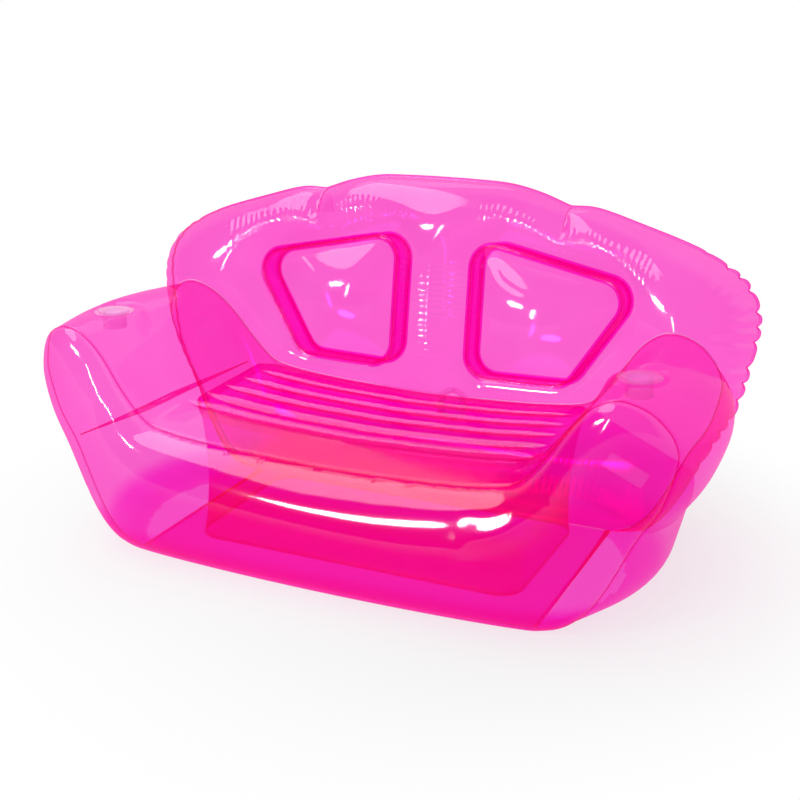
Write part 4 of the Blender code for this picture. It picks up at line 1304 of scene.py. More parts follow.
    def baffle(self) -> None:
        """Film wall under the seat, drawn in half way down, with its welds."""
        size = self.sizes
        top = self.place(self.on_seat(self.baffle_loop(size.baffle_half_length,
                                                       size.baffle_front)))
        foot = self.baffle_loop(size.baffle_foot_half_length, size.baffle_foot_front)
        foot = np.column_stack([foot, np.full(len(foot), FILM + WELD_GAP)])
        top[:, 2] -= 2 * WELD_GAP
        ahead = np.gradient(top[:, :2], axis=0)
        inward = np.column_stack([-ahead[:, 1], ahead[:, 0], np.zeros(len(foot))])
        inward /= np.linalg.norm(inward, axis=1)[:, None]
        inward[[0, -1], 0] = 0.0
        rows = [top * (1 - share) + foot * share
                + inward * size.baffle_waist * 4 * share * (1 - share)
                for share in np.linspace(0.0, 1.0, size.baffle_rows)]
        self.shop.strip("seat_baffle_film", rows, BAFFLE_FILM, ("seat_baffle",), mirrored=True)
        hem = [top * (1 - share) + foot * share + inward * (FILM + TINY)
               for share in np.linspace(0.004, size.hem_share, size.hem_rows)]
        self.shop.strip("seat_baffle_hem", hem, BAND_FILM, mirrored=True)
        low_hem = [top * (1 - share) + foot * share + inward * (2 * FILM + TINY)
                   for share in np.linspace(1 - size.hem_share / 2, 0.995, size.hem_rows)]
        self.shop.strip("seat_baffle_low_hem", low_hem, BAND_FILM, mirrored=True)
        for number, depth in enumerate(self.weld_lines()[1:-1], 1):
            self.seat_web(f"seat_web_{number}", float(depth))

    def seat_welds(self) -> None:
        """Twin weld lines along each rib of the seat and round the baffle."""
        size = self.sizes
        across = np.linspace(0.0, size.baffle_half_length * size.baffle_straight_share,
                             size.weld_columns)
        beads = []
        for depth in self.weld_lines()[1:-1]:
            for off in (-size.weld_half_width, size.weld_half_width):
                depths = np.full(len(across), depth + off)
                beads.append(whole_path(self.place(self.on_seat(
                    np.column_stack([across, depths])))))
        loop = self.baffle_loop(size.baffle_half_length, size.baffle_front)
        beads.append(whole_path(self.place(self.on_seat(loop))))
        beads = [bead - (0.0, 0.0, size.weld_depth) for bead in beads]
        self.shop.rod("seat_welds", beads, size.seat_bead, WELD_FILM)

    def seat_web(self, name: str, depth: float) -> None:
        """Upright strip from one seat weld to the floor panel, with drawn in ends.

        Args:
            name: The node that it stands for.
            depth: Depth of its weld.
        """
        size = self.sizes
        across = np.linspace(0.0, size.baffle_half_length * size.baffle_straight_share,
                             size.web_columns)
        depths = np.full(len(across), depth)
        top = self.place(self.on_seat(np.column_stack([across, depths])))
        top[:, 2] -= 2 * WELD_GAP
        foot = top.copy()
        foot[:, 2] = FILM + WELD_GAP
        rows = []
        for share in np.linspace(0.0, 1.0, size.web_rows):
            row = top * (1 - share) + foot * share
            row[:, 0] *= 1 - size.web_waist_share * 4 * share * (1 - share)
            rows.append(row)
        self.shop.strip(f"{name}_film", rows, WEB_FILM, (name,), mirrored=True)

    def arm_web(self, side: Side) -> None:
        """Slanted strip across one arm, with its slot.

        Args:
            side: The arm.
        """
        size = self.sizes
        depths = np.linspace(size.arm_web_start, size.arm_web_end, size.arm_web_columns)
        ends = [self.place(np.column_stack([np.full(len(depths), along), depths]))
                for along in (self.before_top(size.arm_web_inner, 0), self.web_outer())]
        across = ends[1] - ends[0]
        pull = (WELD_GAP + FILM) / np.linalg.norm(across, axis=1)[:, None]
        rows = [(ends[0] + across * (pull + (1 - 2 * pull) * share)) * side.mirror
                for share in np.linspace(0.0, 1.0, size.arm_web_levels + 1)]
        (low, high), (start, end) = size.slot_levels, size.slot_steps
        slot = frozenset((level, step) for level in range(low, high)
                         for step in range(start, end))
        film, weld = ((ARM_WEB_FILM, WELD_FILM) if side is Side.LEFT
                      else (SIDE_WEB_FILM, SIDE_WEB_FILM))
        self.shop.strip(f"arm_web_film_{side.label}", rows, film,
                        (f"arm_web_{side.label}",), open_cells=slot)
        ring = np.vstack([
            rows[low][start:end + 1], [row[end] for row in rows[low + 1:high]],
            rows[high][end:start - 1:-1], [row[start] for row in rows[high - 1:low:-1]]])
        edges = [rows[0], rows[-1], np.array([row[0] for row in rows]),
                 np.array([row[-1] for row in rows])]
        self.shop.rod(f"arm_web_edges_{side.label}", edges, size.web_edge_bead, weld)
        self.shop.rod(f"arm_web_slot_{side.label}", [ring], size.slot_bead, weld, closed=True)

    def seams(self) -> None:
        """Weld beads along the front and the floor."""
        floor_line, floor_depth = self.floor_front()
        edge = np.column_stack([self.path[:, 0], self.front, self.path[:, 1]])
        self.shop.rod("front_weld", [whole_path(edge)], self.sizes.front_bead, WELD_FILM)
        low = np.column_stack([floor_line[1:, 0], floor_depth[1:], floor_line[1:, 1]])
        foot = np.vstack([low[::-1], low[1:] * OTHER_HALF]) + (0.0, 0.0, self.sizes.floor_bead)
        self.shop.rod("floor_weld", [foot[np.argsort(foot[:, 0])]], self.sizes.floor_bead,
                      WELD_FILM)

    def build(self) -> None:
        """Build every piece of the base."""
        self.front_panel()
        self.long_sheet()
        self.floor()
        self.baffle()
        self.seat_welds()
        self.seams()
        for side in Side:
            self.arm_web(side)


# ---- Back


@dataclass(frozen=True)
class BackSizes:
    """Sizes of the back, in metres and shares of them."""

    half_width: float = 0.738
    height: float = 0.753
    lean: float = 0.154
    notch: Point = (0.413, 0.943)
    front_fill: float = 2.05
    rear_fill: float = 1.35
    window_fill_share: float = 0.95
    window_half_depth: float = 0.038
    window_corner: float = 0.052
    window_hem: float = 0.008
    tie_length: float = 0.052
    tie_half_depth: float = 0.046
    tie_weld: float = 0.0009
    flange: float = 0.005
    spacing: float = 0.0085
    seam_spacing: float = 0.005
    valve_height: float = 0.205
    scallop_pitch: float = 0.040
    scallop_depth: float = 0.012
    scallop_fade: float = 0.016
    scallop_flattening: float = 0.45
    flattening_fade: float = 0.024
    scallop_power: float = 1.5
    left_scallop_share: float = 0.35
    pucker_pitch: float = 0.0155
    pucker_depth: float = 0.0021
    pucker_share: float = 0.02
    pucker_off: tuple[float, ...] = (0.040, 0.016, 0.122, 0.030)
    pucker_across: tuple[float, ...] = (0.10, 0.05, 0.54, 0.06)
    left_shift: float = 0.31
    column_up: tuple[float, ...] = (0.34, 0.04, 0.58, 0.05)
    column_half_width: float = 0.078
    column_blend: float = 0.03
    column_pitch: float = 0.0135
    column_share: float = 0.45
    relief_start: float = 0.004
    relief_blend: float = 0.02
    rim_offsets: tuple[float, ...] = (0.0015, 0.0045, 0.010, 0.018)
    window_offsets: tuple[float, ...] = (0.004, -0.004, 0.011, -0.011, 0.02, -0.02)
    window_spacing: float = 0.0050
    middle_spacing: float = 0.008
    seam_clearance: float = 0.004
    pucker_spacing: float = 0.0031
    shoulder_spacing: float = 0.0052
    shoulder_reach: float = 0.05
    crease_spacing: float = 0.0042
    ring_steps: int = 25
    baffle_rows: int = 9
    hem_rows: int = 5
    hem_inset: float = 0.0012
    hem_slant: float = 0.25
    tie_steps: int = 12
    tie_rows: int = 5
    window_bead: float = 0.0016
    base_bead: float = 0.0014
    lip_bead: float = 0.0008
    lip_rise: float = 0.004
    lip_reach: float = 0.0030
    rim_bead: float = 0.0010
    rim_spacing: float = 0.003
    rim_foot: float = 0.01


CREST: tuple[Point, ...] = ((0.000, 1.000), (0.110, 0.999), (0.221, 0.994), (0.320, 0.974))
SHOULDER: tuple[Point, ...] = (
    (0.500, 0.941), (0.630, 0.907), (0.800, 0.855), (0.905, 0.806), (0.965, 0.760), (1.000, 0.692),
    (1.004, 0.621), (0.992, 0.550), (0.980, 0.480), (0.962, 0.410), (0.928, 0.340), (0.888, 0.266),
    (0.852, 0.195), (0.815, 0.125), (0.772, 0.062), (0.718, 0.018), (0.640, 0.000),
)
WINDOW: tuple[Point, ...] = ((0.128, 0.412), (0.455, 0.420), (0.652, 0.722), (0.126, 0.826))
SCALLOP_MARKS: tuple[Point, ...] = ((0.800, 0.855), (0.930, 0.790), (0.928, 0.340), (0.830, 0.150))
SCALLOP_SHARES = (0.0, 1.0, 0.75, 0.0)
SHOULDER_ENDS: tuple[Point, ...] = ((0.780, 0.860), (0.820, 0.140))
BACK_CREASES = (
    Crease(((0.48, 0.639), (0.524, 0.61), (0.555, 0.575), (0.574, 0.536)), 0.0055, 0.0022),
    Crease(((0.148, 0.598), (0.17, 0.564), (0.2, 0.536), (0.28, 0.505)), 0.006, -0.0022),
    Crease(((-0.34, 0.562), (-0.29, 0.538), (-0.245, 0.504)), 0.006, -0.0018),
    Crease(((-0.099, 0.604), (-0.128, 0.566), (-0.172, 0.529)), 0.006, -0.0016),
    Crease(((0.443, 0.538), (0.396, 0.516), (0.343, 0.493)), 0.006, -0.0016),
    Crease(((0.188, 0.334), (0.203, 0.381), (0.22, 0.414)), 0.005, -0.0014),
    Crease(((0.398, 0.342), (0.349, 0.376), (0.305, 0.402)), 0.005, -0.0014),
    Crease(((-0.296, 0.34), (-0.265, 0.379), (-0.24, 0.411)), 0.005, -0.0014),
    Crease(((-0.104, 0.345), (-0.137, 0.375), (-0.165, 0.4)), 0.005, -0.0014),
)


class Back:
    """The back: two sheets, window baffles, notch ties, puckered flange and seams."""

    def __init__(self, sizes: BackSizes, base: Base, shop: Workshop, spot_swell: float) -> None:
        """Lay out the back's outline.

        Args:
            sizes: Its sizes.
            base: The base that it is welded to.
            shop: Makes its pieces.
            spot_swell: How far the film swells under the rear valve.
        """
        self.sizes = sizes
        self.base = base
        self.shop = shop
        self.spot_swell = spot_swell
        notch = self.places([sizes.notch])
        crest = self.places(CREST)
        shoulder = self.places(SHOULDER)
        first = smooth_path(np.vstack([crest, notch]), sizes.seam_spacing)
        second = smooth_path(np.vstack([notch, shoulder]), sizes.seam_spacing)
        foot = even_steps(np.array([shoulder[-1], (0.0, FILM)]), sizes.seam_spacing)
        self.edge = np.vstack([first, second[1:], foot[1:]])
        self.ruler = EdgeRuler(self.edge)

    def places(self, shares: tuple) -> np.ndarray:
        """Points seen from the front, from shares of the half width and height."""
        size = (self.sizes.half_width, self.sizes.height - 2 * FILM)
        return np.array(shares) * size + (0.0, FILM)

    def weld_plane(self, height: np.ndarray) -> np.ndarray:
        """Depth of the leaning plane in which the two sheets are welded."""
        return self.base.sizes.depth + FILM + 2 * WELD_GAP + self.sizes.lean * height

    def off_plane(self, points: np.ndarray, swell: np.ndarray) -> np.ndarray:
        """Places at a distance square to the weld plane.

        Args:
            points: Points of the plane.
            swell: Distance of each, to the front where it is negative.

        Returns:
            The places in space.
        """
        upright = 1 / math.hypot(1.0, self.sizes.lean)
        depth = self.weld_plane(points[:, 1]) + swell * upright
        up = points[:, 1] - swell * upright * self.sizes.lean
        return np.column_stack([points[:, 0], depth, up])

    def on_plane(self, places: np.ndarray) -> tuple[np.ndarray, np.ndarray]:
        """The reverse of off_plane.

        Args:
            places: Places in space.

        Returns:
            Points of the weld plane, and the distance of each place in front of it.
        """
        upright = 1 / math.hypot(1.0, self.sizes.lean)
        swell = (self.weld_plane(places[:, 2]) - places[:, 1]) * upright
        up = places[:, 2] - swell * upright * self.sizes.lean
        return np.column_stack([places[:, 0], up]), swell

    def window(self, grown: float = 0.0, spacing: float = 0.006) -> np.ndarray:
        """Closed outline of the window on the right.

        Args:
            grown: How far it is grown outwards.
            spacing: Wanted distance between points.

        Returns:
            The points, the first not repeated.
        """
        loop = rounded_loop(self.places(WINDOW), self.sizes.window_corner, spacing)
        ahead = np.roll(loop, -1, axis=0) - np.roll(loop, 1, axis=0)
        ahead /= np.linalg.norm(ahead, axis=1)[:, None]
        return loop + np.column_stack([ahead[:, 1], -ahead[:, 0]]) * grown

    def tie(self) -> tuple[np.ndarray, np.ndarray]:
        """One notch tie, seen from the front.

        Returns:
            Points down the tie, and its half depth at each.
        """
        size = self.sizes
        across, up = self.places([size.notch])[0]
        heights = np.linspace(up - size.flange, up - size.flange - size.tie_length,
                              size.tie_steps)
        depths = size.tie_half_depth * np.sqrt(np.linspace(0.0, 1.0, size.tie_steps))
        return np.column_stack([np.full(size.tie_steps, across), heights]), depths

    def base_seam(self) -> tuple[np.ndarray, np.ndarray]:
        """Where the long sheet meets the back.

        Returns:
            Points of the weld plane, and the seam's distance in front of each.
        """
        base = self.base
        edge = base.path * (base.sizes.rear_width_share, 1.0)
        edge = edge + base.normal * (FILM + 2 * WELD_GAP)
        behind = base.rear + FILM + 1.5 * WELD_GAP
        seam, swell = self.on_plane(np.column_stack([edge[:, 0], behind, edge[:, 1]]))
        limit = FILM + self.sizes.flange
        last = np.flatnonzero(seam[:, 1] > limit)[-1]
        step = (seam[last, 1] - limit) / (seam[last, 1] - seam[last + 1, 1])
        foot = seam[last] + (seam[last + 1] - seam[last]) * step
        return np.vstack([seam[:last + 1], foot]), swell[:last + 2]

    def mark(self, share: Point) -> float:
        """Distance along the outline to the place next to a point, given in shares."""
        return float(self.ruler.read(self.places([share]))[0][0])

    def scallop(self, along: np.ndarray) -> np.ndarray:
        """How strongly the flange is pinched.

        Args:
            along: Distances along the outline.

        Returns:
            One share for each, 0 to 1.
        """
        reach = np.interp(along, [self.mark(share) for share in SCALLOP_MARKS], SCALLOP_SHARES)
        phase = along / self.sizes.scallop_pitch
        phase = phase + 0.16 * np.sin(phase * 2.1) + 0.10 * np.sin(phase * 0.9 + 1.0)
        return reach * (1 - np.abs(np.sin(math.pi * phase))) ** self.sizes.scallop_power

    def pucker(self, points: np.ndarray) -> np.ndarray:
        """Height of the fine puckers over the windows and in the middle column.

        The waves with bare numbers only make the puckers uneven in height and spacing.

        Args:
            points: Points of the weld plane.

        Returns:
            One height for each point.
        """
        size = self.sizes
        along, off = self.ruler.read(np.abs(points))
        across, up = np.abs(points[:, 0]), points[:, 1]
        along = along + size.left_shift * (points[:, 0] < 0)
        reach = band(off, *size.pucker_off) * band(across, *size.pucker_across)
        turn = 2 * math.pi * along / size.pucker_pitch
        uneven = 0.60 + 0.40 * np.sin(along * 61.0) * np.sin(along * 23.0 + 1.0)
        row = 0.65 + 0.35 * np.sin(off * 190.0 + 3.0 * np.sin(along * 19.0))
        fine = reach * uneven * row * np.sin(turn + 1.3 * np.sin(along * 47.0))
        column = band(up, *size.column_up)
        column *= smooth_step((size.column_half_width - across) / size.column_blend)
        steps = np.sin(2 * math.pi * up / size.column_pitch + 0.9 * np.sin(up * 90.0)
                       + 6.0 * across)
        return size.pucker_depth * (fine + size.column_share * column * steps)

    def layout(self, seam: np.ndarray | None = None
               ) -> tuple[np.ndarray, np.ndarray, dict[int, float]]:
        """Triangles of one sheet and the heights at which it is held.

        Args:
            seam: Points where the base meets it, or None for the rear sheet.

        Returns:
            Points, triangles, and held heights by index.
        """
        size = self.sizes
        flange = inset_path(self.edge, size.flange)
        rims = [inset_path(self.edge, size.flange + offset) for offset in size.rim_offsets]
        tie_line, tie_depths = self.tie()
        lines = [tie_line, flange]
        kept = [path[end, 1] for path in (self.edge, flange, *rims) for end in (0, -1)]
        ring = None
        if seam is None:
            ring = self.ring(self.base.sizes.valve_hole)
            kept += [ring[0, 1], ring[-1, 1]]
        else:
            lines.append(seam)
            kept.append(seam[0, 1])
        stops = sorted({round(float(height), 7) for height in kept})
        middle = []
        for low, high in zip(stops, stops[1:]):
            if ring is not None and abs(low - ring[0, 1]) < TINY:
                middle.extend(ring[:-1])
            else:
                ends = np.array([(0.0, low), (0.0, high)])
                middle.extend(even_steps(ends, size.middle_spacing)[:-1])
        middle.append((0.0, stops[-1]))
        outline = np.vstack([self.edge, np.array(middle)[1:-1]])
        extra = [rim[1:-1] for rim in rims]
        extra += [self.window(offset) for offset in size.window_offsets]
        if seam is not None:
            extra = [group[clearance(group, seam) > size.seam_clearance] for group in extra]
        zones = [(self.pucker_zone, size.pucker_spacing),
                 (self.shoulder_zone, size.shoulder_spacing),
                 (self.window_zone, size.window_spacing)]
        zones += [(crease.zone, size.crease_spacing) for crease in BACK_CREASES]
        points, faces = Cut(outline, size.spacing, (self.window(),), tuple(lines), tuple(extra),
                            tuple(zones)).fill()
        held = {int(i): 0.0 for i in nearest(points, np.vstack([self.edge, flange]))}
        held.update({int(i): size.window_half_depth for i in nearest(points, self.window())})
        held.update(zip((int(i) for i in nearest(points, tie_line)), tie_depths))
        return points, faces, held

    def shoulder_zone(self, grid: np.ndarray) -> np.ndarray:
        """Which points lie where the flange is puckered.

        Args:
            grid: Points to test.

        Returns:
            One truth value for each point.
        """
        along, off = self.ruler.read(grid)
        start, end = (self.mark(share) for share in SHOULDER_ENDS)
        return (off < self.sizes.shoulder_reach) & (along > start) & (along < end)

    def pucker_zone(self, grid: np.ndarray) -> np.ndarray:
        """Which points lie where the sheets have fine puckers."""
        return np.abs(self.pucker(grid)) > self.sizes.pucker_depth * self.sizes.pucker_share

    def window_zone(self, grid: np.ndarray) -> np.ndarray:
        """Which points lie in the window, clear of its weld."""
        return inside(grid, self.window(-self.sizes.seam_clearance))

    def ring(self, radius: float) -> np.ndarray:
        """Half circle about the rear valve.

        Args:
            radius: Its radius.

        Returns:
            Its points, from below to above.
        """
        turns = np.linspace(-math.pi / 2, math.pi / 2, self.sizes.ring_steps)
        ring = np.column_stack([radius * np.cos(turns),
                                self.sizes.valve_height + radius * np.sin(turns)])
        ring[[0, -1], 0] = 0.0
        return ring

    def fullness(self, points: np.ndarray, faces: np.ndarray, partition: np.ndarray | None,
                 fill: float) -> np.ndarray:
        """Fullness over each triangle: none where the base stands against the back.

        Args:
            points: Points of a filled cut.
            faces: Its triangles.
            partition: Loop round the part shared with the base, or None.
            fill: Fullness of the rest.

        Returns:
            One value for each triangle.
        """
        centres = points[faces].mean(axis=1)
        result = np.full(len(faces), fill)
        result[inside(centres, self.window())] = fill * self.sizes.window_fill_share
        if partition is not None:
            result[inside(centres, partition)] = 0.0
        return result

    def pinch(self, points: np.ndarray, height: np.ndarray, facing: int) -> np.ndarray:
        """Places of a blown sheet with its puckers, folds and pinched flange.

        Args:
            points: The flat points of both halves.
            height: How far each swells.
            facing: -1 for the front sheet and 1 for the rear one.

        Returns:
            Places in space.
        """
        size = self.sizes
        half = np.column_stack([np.abs(points[:, 0]), points[:, 1]])
        along, off = self.ruler.read(half)
        left = points[:, 0] < 0
        pinched = self.scallop(along) * np.where(left, size.left_scallop_share, 1.0)
        towards = self.ruler.path[nearest(self.ruler.path, half)]
        inward = (0.0, 0.5 * size.height) - towards
        inward /= np.linalg.norm(inward, axis=1)[:, None]
        drawn = size.scallop_depth * pinched * np.exp(-off / size.scallop_fade)
        half = half + inward * drawn[:, None]
        middle = np.abs(points[:, 0]) < TINY
        across = np.where(middle, 0.0, half[:, 0] * np.where(left, -1.0, 1.0))
        height = height * (1 - size.scallop_flattening * pinched
                           * np.exp(-off / size.flattening_fade))
        folds = sum(crease.read(points) for crease in BACK_CREASES) if facing < 0 else 0.0
        relief = (self.pucker(points) + folds) * smooth_step(
            (height - size.relief_start) / size.relief_blend)
        return self.off_plane(np.column_stack([across, half[:, 1]]),
                              facing * (height + relief + WELD_GAP / 2))

    def front_sheet(self) -> None:
        """Front sheet of the back, which also closes the base at the rear."""
        seam, swell = self.base_seam()
        points, faces, held = self.layout(seam)
        held.update(zip((int(i) for i in nearest(points, seam)), swell))
        partition = np.vstack([seam, (seam[-1, 0], FILM), (0.0, FILM)])
        fill = self.fullness(points, faces, partition, self.sizes.front_fill)
        height = Membrane(points, faces).solve(held, fill)
        flat = Membrane(points, faces[fill == 0]).solve(held, fill[fill == 0], power=1)
        shared = np.setdiff1d(faces[fill == 0], np.array(sorted(held)))
        height[shared] = flat[shared]
        points, faces, source = both_halves(points, faces)
        self.shop.film("back_front_film", self.pinch(points, height[source], -1), faces,
                       lambda place: (0.0, -1.0, 0.0), PANEL_FILM, ("back_front_sheet",),
                       inside_finish=PANEL_INSIDE)

    def rear_sheet(self) -> None:
        """Rear sheet of the back, with a flat spot and a hole for its valve."""
        points, faces, held = self.layout()
        fill = self.fullness(points, faces, None, self.sizes.rear_fill)
        height = Membrane(points, faces).solve(held, fill)
        away = np.hypot(points[:, 0], points[:, 1] - self.sizes.valve_height)
        blend = smooth_step((away - self.base.sizes.valve_spot) / self.base.sizes.valve_blend)
        height = self.spot_swell + (height - self.spot_swell) * blend
        points, faces, source = both_halves(points, faces)
        self.shop.film("back_rear_film", self.pinch(points, height[source], 1), faces,
                       lambda place: (0.0, 1.0, 0.0), PANEL_FILM, ("back_rear_sheet",),
                       inside_finish=PANEL_INSIDE)

    def window_baffle(self, side: Side) -> None:
        """Film strip between the sheets round one window, with a hem at each edge.

        Args:
            side: The shoulder.
        """
        size = self.sizes
        loop = self.window()
        reach = size.window_half_depth - WELD_GAP / 2
        rows = [self.off_plane(loop, np.full(len(loop), reach * share)) * side.mirror
                for share in np.linspace(-1.0, 1.0, size.baffle_rows)]
        self.shop.strip(f"window_baffle_film_{side.label}", rows, BAND_FILM,
                        (f"window_baffle_{side.label}",), closed=True)
        for facing, word in ((-1.0, "front"), (1.0, "rear")):
            hem = []
            for grown in np.linspace(-size.window_hem, size.window_hem, size.hem_rows):
                swell = facing * (reach - size.hem_inset - size.hem_slant * abs(grown))
                hem.append(self.off_plane(self.window(grown), np.full(len(loop), swell))
                           * side.mirror)
            self.shop.strip(f"window_hem_{word}_{side.label}", hem, BAND_FILM, closed=True)

    def notch_tie(self, side: Side) -> None:
        """Short film tie between the sheets under one notch.

        Args:
            side: The side of the notch.
        """
        line, depths = self.tie()
        rows = [self.off_plane(line[2:], (depths[2:] - WELD_GAP / 2) * share) * side.mirror
                for share in np.linspace(-1.0, 1.0, self.sizes.tie_rows)]
        self.shop.strip(f"notch_tie_film_{side.label}", rows, TIE_FILM,
                        (f"notch_tie_{side.label}",))
        weld = self.off_plane(line, -depths) * side.mirror
        self.shop.rod(f"notch_weld_{side.label}", [weld], self.sizes.tie_weld, WELD_FILM)

    def seams(self) -> None:
        """Weld beads: round the windows, along the base, and round the rim."""
        size = self.sizes
        loop = self.window()
        beads = [self.off_plane(loop, np.full(len(loop), facing * size.window_half_depth))
                 * side.mirror for side in Side for facing in (-1.0, 1.0)]
        self.shop.rod("window_welds", beads, size.window_bead, WELD_FILM, closed=True)
        seam, swell = self.base_seam()
        self.shop.rod("back_weld", [whole_path(self.off_plane(seam, -swell))], size.base_bead,
                      WELD_FILM)
        outer = self.off_plane(seam + (0.0, size.lip_rise), -swell - size.lip_reach)
        self.shop.rod("back_weld_lip", [whole_path(outer)], size.lip_bead, LIP_FILM)
        last = int(np.flatnonzero(self.edge[:, 1] > size.rim_foot)[-1])
        right = even_steps(self.edge[:last], size.rim_spacing)
        rims = [self.pinch(right * (sign, 1.0), np.zeros(len(right)), 0) for sign in (-1.0, 1.0)]
        self.shop.rod("rim_weld", [np.vstack([rims[0][::-1], rims[1][1:]])], size.rim_bead,
                      WELD_FILM)

    def build(self) -> None:
        """Build every piece of the back."""
        self.front_sheet()
        self.rear_sheet()
        for side in Side:
            self.window_baffle(side)
            self.notch_tie(side)
        self.seams()


# ---- Studio


@dataclass(frozen=True)
class Viewpoint:
    """Where the camera stands and looks."""

    across: float = 1.193
    depth: float = -2.144
    height: float = 1.234
    yaw: float = 25.33
    pitch: float = 18.69
    roll: float = -0.42
    lens: float = 59.14
    sensor_width: float = 36.0

    def build(self, depth_shift: float) -> None:
        """Make the camera.

        Args:
            depth_shift: Added to its depth.
        """
        yaw, pitch, roll = (math.radians(value) for value in (self.yaw, self.pitch, self.roll))
        ahead = Vector((-math.sin(yaw) * math.cos(pitch), math.cos(yaw) * math.cos(pitch),
                        -math.sin(pitch)))
        right = Vector((math.cos(yaw), math.sin(yaw), 0.0))
        up = right.cross(ahead)
        turned_right = math.cos(roll) * right + math.sin(roll) * up
        turned_up = math.cos(roll) * up - math.sin(roll) * right
        data = bpy.data.cameras.new("camera")
        data.sensor_width = self.sensor_width
        data.lens = self.lens
        item = bpy.data.objects.new("camera", data)
        bpy.context.collection.objects.link(item)
        pose = Matrix((turned_right, turned_up, -ahead)).transposed().to_4x4()
        pose.translation = (self.across, self.depth + depth_shift, self.height)
        item.matrix_world = pose
        bpy.context.scene.camera = item


@dataclass(frozen=True)
class Softbox:
    """An oval studio lamp aimed at the sofa's middle."""

    name: str
    azimuth: float
    elevation: float
    distance: float
    width: float
    height: float
    radiance: float
    aim_height: float = 0.35

    def build(self) -> None:
        """Make the lamp."""
        data = bpy.data.lights.new(self.name, "AREA")
        data.shape = "ELLIPSE"
        data.size = self.width
        data.size_y = self.height
        data.energy = self.radiance * math.pi * self.width * self.height * math.pi / 4
        item = bpy.data.objects.new(self.name, data)
        bpy.context.collection.objects.link(item)
        turn, rise = math.radians(self.azimuth), math.radians(self.elevation)
        away = Vector((math.sin(turn) * math.cos(rise), -math.cos(turn) * math.cos(rise),
                       math.sin(rise)))
        item.location = Vector((0.0, 0.0, self.aim_height)) + away * self.distance
        item.rotation_euler = (-away).to_track_quat("-Z", "Y").to_euler()


SOFTBOXES = (
    Softbox("key_softbox", -22.0, 27.0, 3.0, 0.85, 0.32, 58.0),
    Softbox("strip_softbox", -3.0, 19.0, 3.0, 0.18, 0.80, 42.0),
    Softbox("rear_softbox", -148.0, 46.0, 3.0, 1.8, 1.0, 1.5),
    Softbox("top_softbox", -75.0, 63.0, 3.0, 4.0, 1.6, 4.4),
)


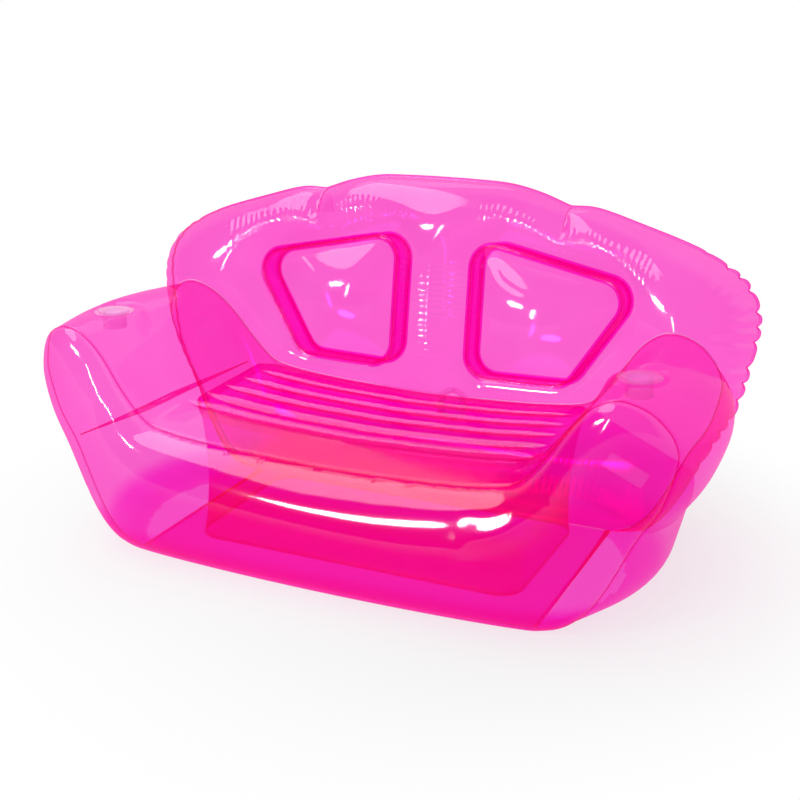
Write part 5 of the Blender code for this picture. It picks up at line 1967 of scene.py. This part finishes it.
class Studio:
    """Camera, softboxes, white world and pale floor."""

    backdrop_band = (-0.25, 0.35)
    world_strength = 0.06
    white_band = (0.50, 1.15)
    near_white = 0.72
    floor_size = 60.0
    floor_colour = (0.8, 0.8, 0.8, 1.0)

    def backdrop(self, tree: bpy.types.NodeTree) -> bpy.types.NodeSocket:
        """A value that is 1 towards the backdrop, and falls to 0 behind the photographer.

        Args:
            tree: Where the nodes go.

        Returns:
            The value's socket.
        """
        place = add_node(tree, "NodeTexCoord")
        parts = add_node(tree, "NodeSeparateXYZ", Vector=place.outputs["Generated"])
        return ease_node(tree, parts.outputs["Y"], From_Min=self.backdrop_band[0],
                         From_Max=self.backdrop_band[1])

    def seen_white(self, tree: bpy.types.NodeTree,
                   backdrop: bpy.types.NodeSocket | None = None) -> bpy.types.NodeSocket:
        """A value that is 1 for what the camera sees, itself or in gloss and glass.

        Args:
            tree: Where the nodes go.
            backdrop: Scales what gloss sees, or None.

        Returns:
            The value's socket.
        """
        path = add_node(tree, "NodeLightPath").outputs
        glossy = path["Is Glossy Ray"]
        if backdrop is not None:
            glossy = math_node(tree, "MULTIPLY", glossy, backdrop)
        seen = math_node(tree, "MAXIMUM", path["Is Camera Ray"], glossy)
        return math_node(tree, "MAXIMUM", seen, path["Is Transmission Ray"])

    def world(self) -> None:
        """White where it is seen, and plain soft light elsewhere."""
        world = bpy.data.worlds.new("studio")
        bpy.context.scene.world = world
        world.use_nodes = True
        tree = world.node_tree
        tree.nodes.clear()
        lighting = add_node(tree, "NodeBackground", Color=WHITE, Strength=self.world_strength)
        white = add_node(tree, "NodeBackground", Color=WHITE)
        mix = mix_shaders(tree, self.seen_white(tree, self.backdrop(tree)), lighting, white)
        add_node(tree, "NodeOutputWorld", Surface=mix.outputs[0])

    def whitening(self, tree: bpy.types.NodeTree) -> bpy.types.NodeSocket:
        """How much of the floor's own light is plain white: some near the sofa, all far off.

        Args:
            tree: Where the nodes go.

        Returns:
            The value's socket.
        """
        place = add_node(tree, "NodeTexCoord")
        away = tree.nodes.new("ShaderNodeVectorMath")
        away.operation = "LENGTH"
        tree.links.new(place.outputs["Object"], away.inputs[0])
        return ease_node(tree, away.outputs["Value"], From_Min=self.white_band[0],
                         From_Max=self.white_band[1], To_Min=self.near_white)

    def floor(self) -> None:
        """A pale floor that keeps a soft shadow."""
        bpy.ops.mesh.primitive_plane_add(size=self.floor_size, location=(0.0, 0.0, 0.0))
        plane = bpy.context.object
        plane.name = "studio_floor"
        made = bpy.data.materials.new("studio_floor")
        made.use_nodes = True
        tree = made.node_tree
        tree.nodes.clear()
        matt = add_node(tree, "NodeBsdfDiffuse", Color=self.floor_colour)
        white = add_node(tree, "NodeEmission")
        lit = mix_shaders(tree, self.whitening(tree), matt, white)
        mix = mix_shaders(tree, self.seen_white(tree), matt, lit)
        add_node(tree, "NodeOutputMaterial", Surface=mix.outputs[0])
        plane.data.materials.append(made)

    def build(self, depth_shift: float) -> None:
        """Build the whole studio.

        Args:
            depth_shift: Added to the camera's depth.
        """
        Viewpoint().build(depth_shift)
        for lamp in SOFTBOXES:
            lamp.build()
        self.world()
        self.floor()
        scene = bpy.context.scene
        scene.view_settings.view_transform = "Standard"
        scene.cycles.transparent_max_bounces = 64
        scene.cycles.max_bounces = 5


def rear_spot(back: Back) -> float:
    """How far the rear sheet swells under its valve, from the height of the valve's rim.

    Args:
        back: The back.

    Returns:
        The swell.
    """
    outward = Vector((0.0, 1.0, -back.sizes.lean)).normalized()
    origin = Vector(back.off_plane(np.array([(0.0, back.sizes.valve_height)]), np.zeros(1))[0])
    origin.y += back.shop.depth_shift
    rim = max((vertex.co - origin).dot(outward)
              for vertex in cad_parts["valve_rear_body"].data.vertices)
    return rim - VALVE_RIM - FILM - WELD_GAP / 2


def main() -> None:
    """Build every piece of the sofa and the studio round it."""
    logging.basicConfig(level=logging.INFO, format="%(name)s %(message)s")
    low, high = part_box("valve_left_body")
    sizes = BaseSizes()
    shift = (low.y + high.y) / 2 - sizes.valve_depth
    shop = Workshop(Finishes(), shift)
    base = Base(sizes, shop, high.z - VALVE_RIM - FILM)
    base.build()
    back = Back(BackSizes(), base, shop, 0.0)
    back.spot_swell = rear_spot(back)
    back.build()
    for name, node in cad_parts.items():
        if name.startswith("valve"):
            for slot in node.material_slots:
                slot.material = shop.finishes.get(VALVE_PLASTIC)
    Studio().build(shift)


if __name__ == "__main__":
    main()
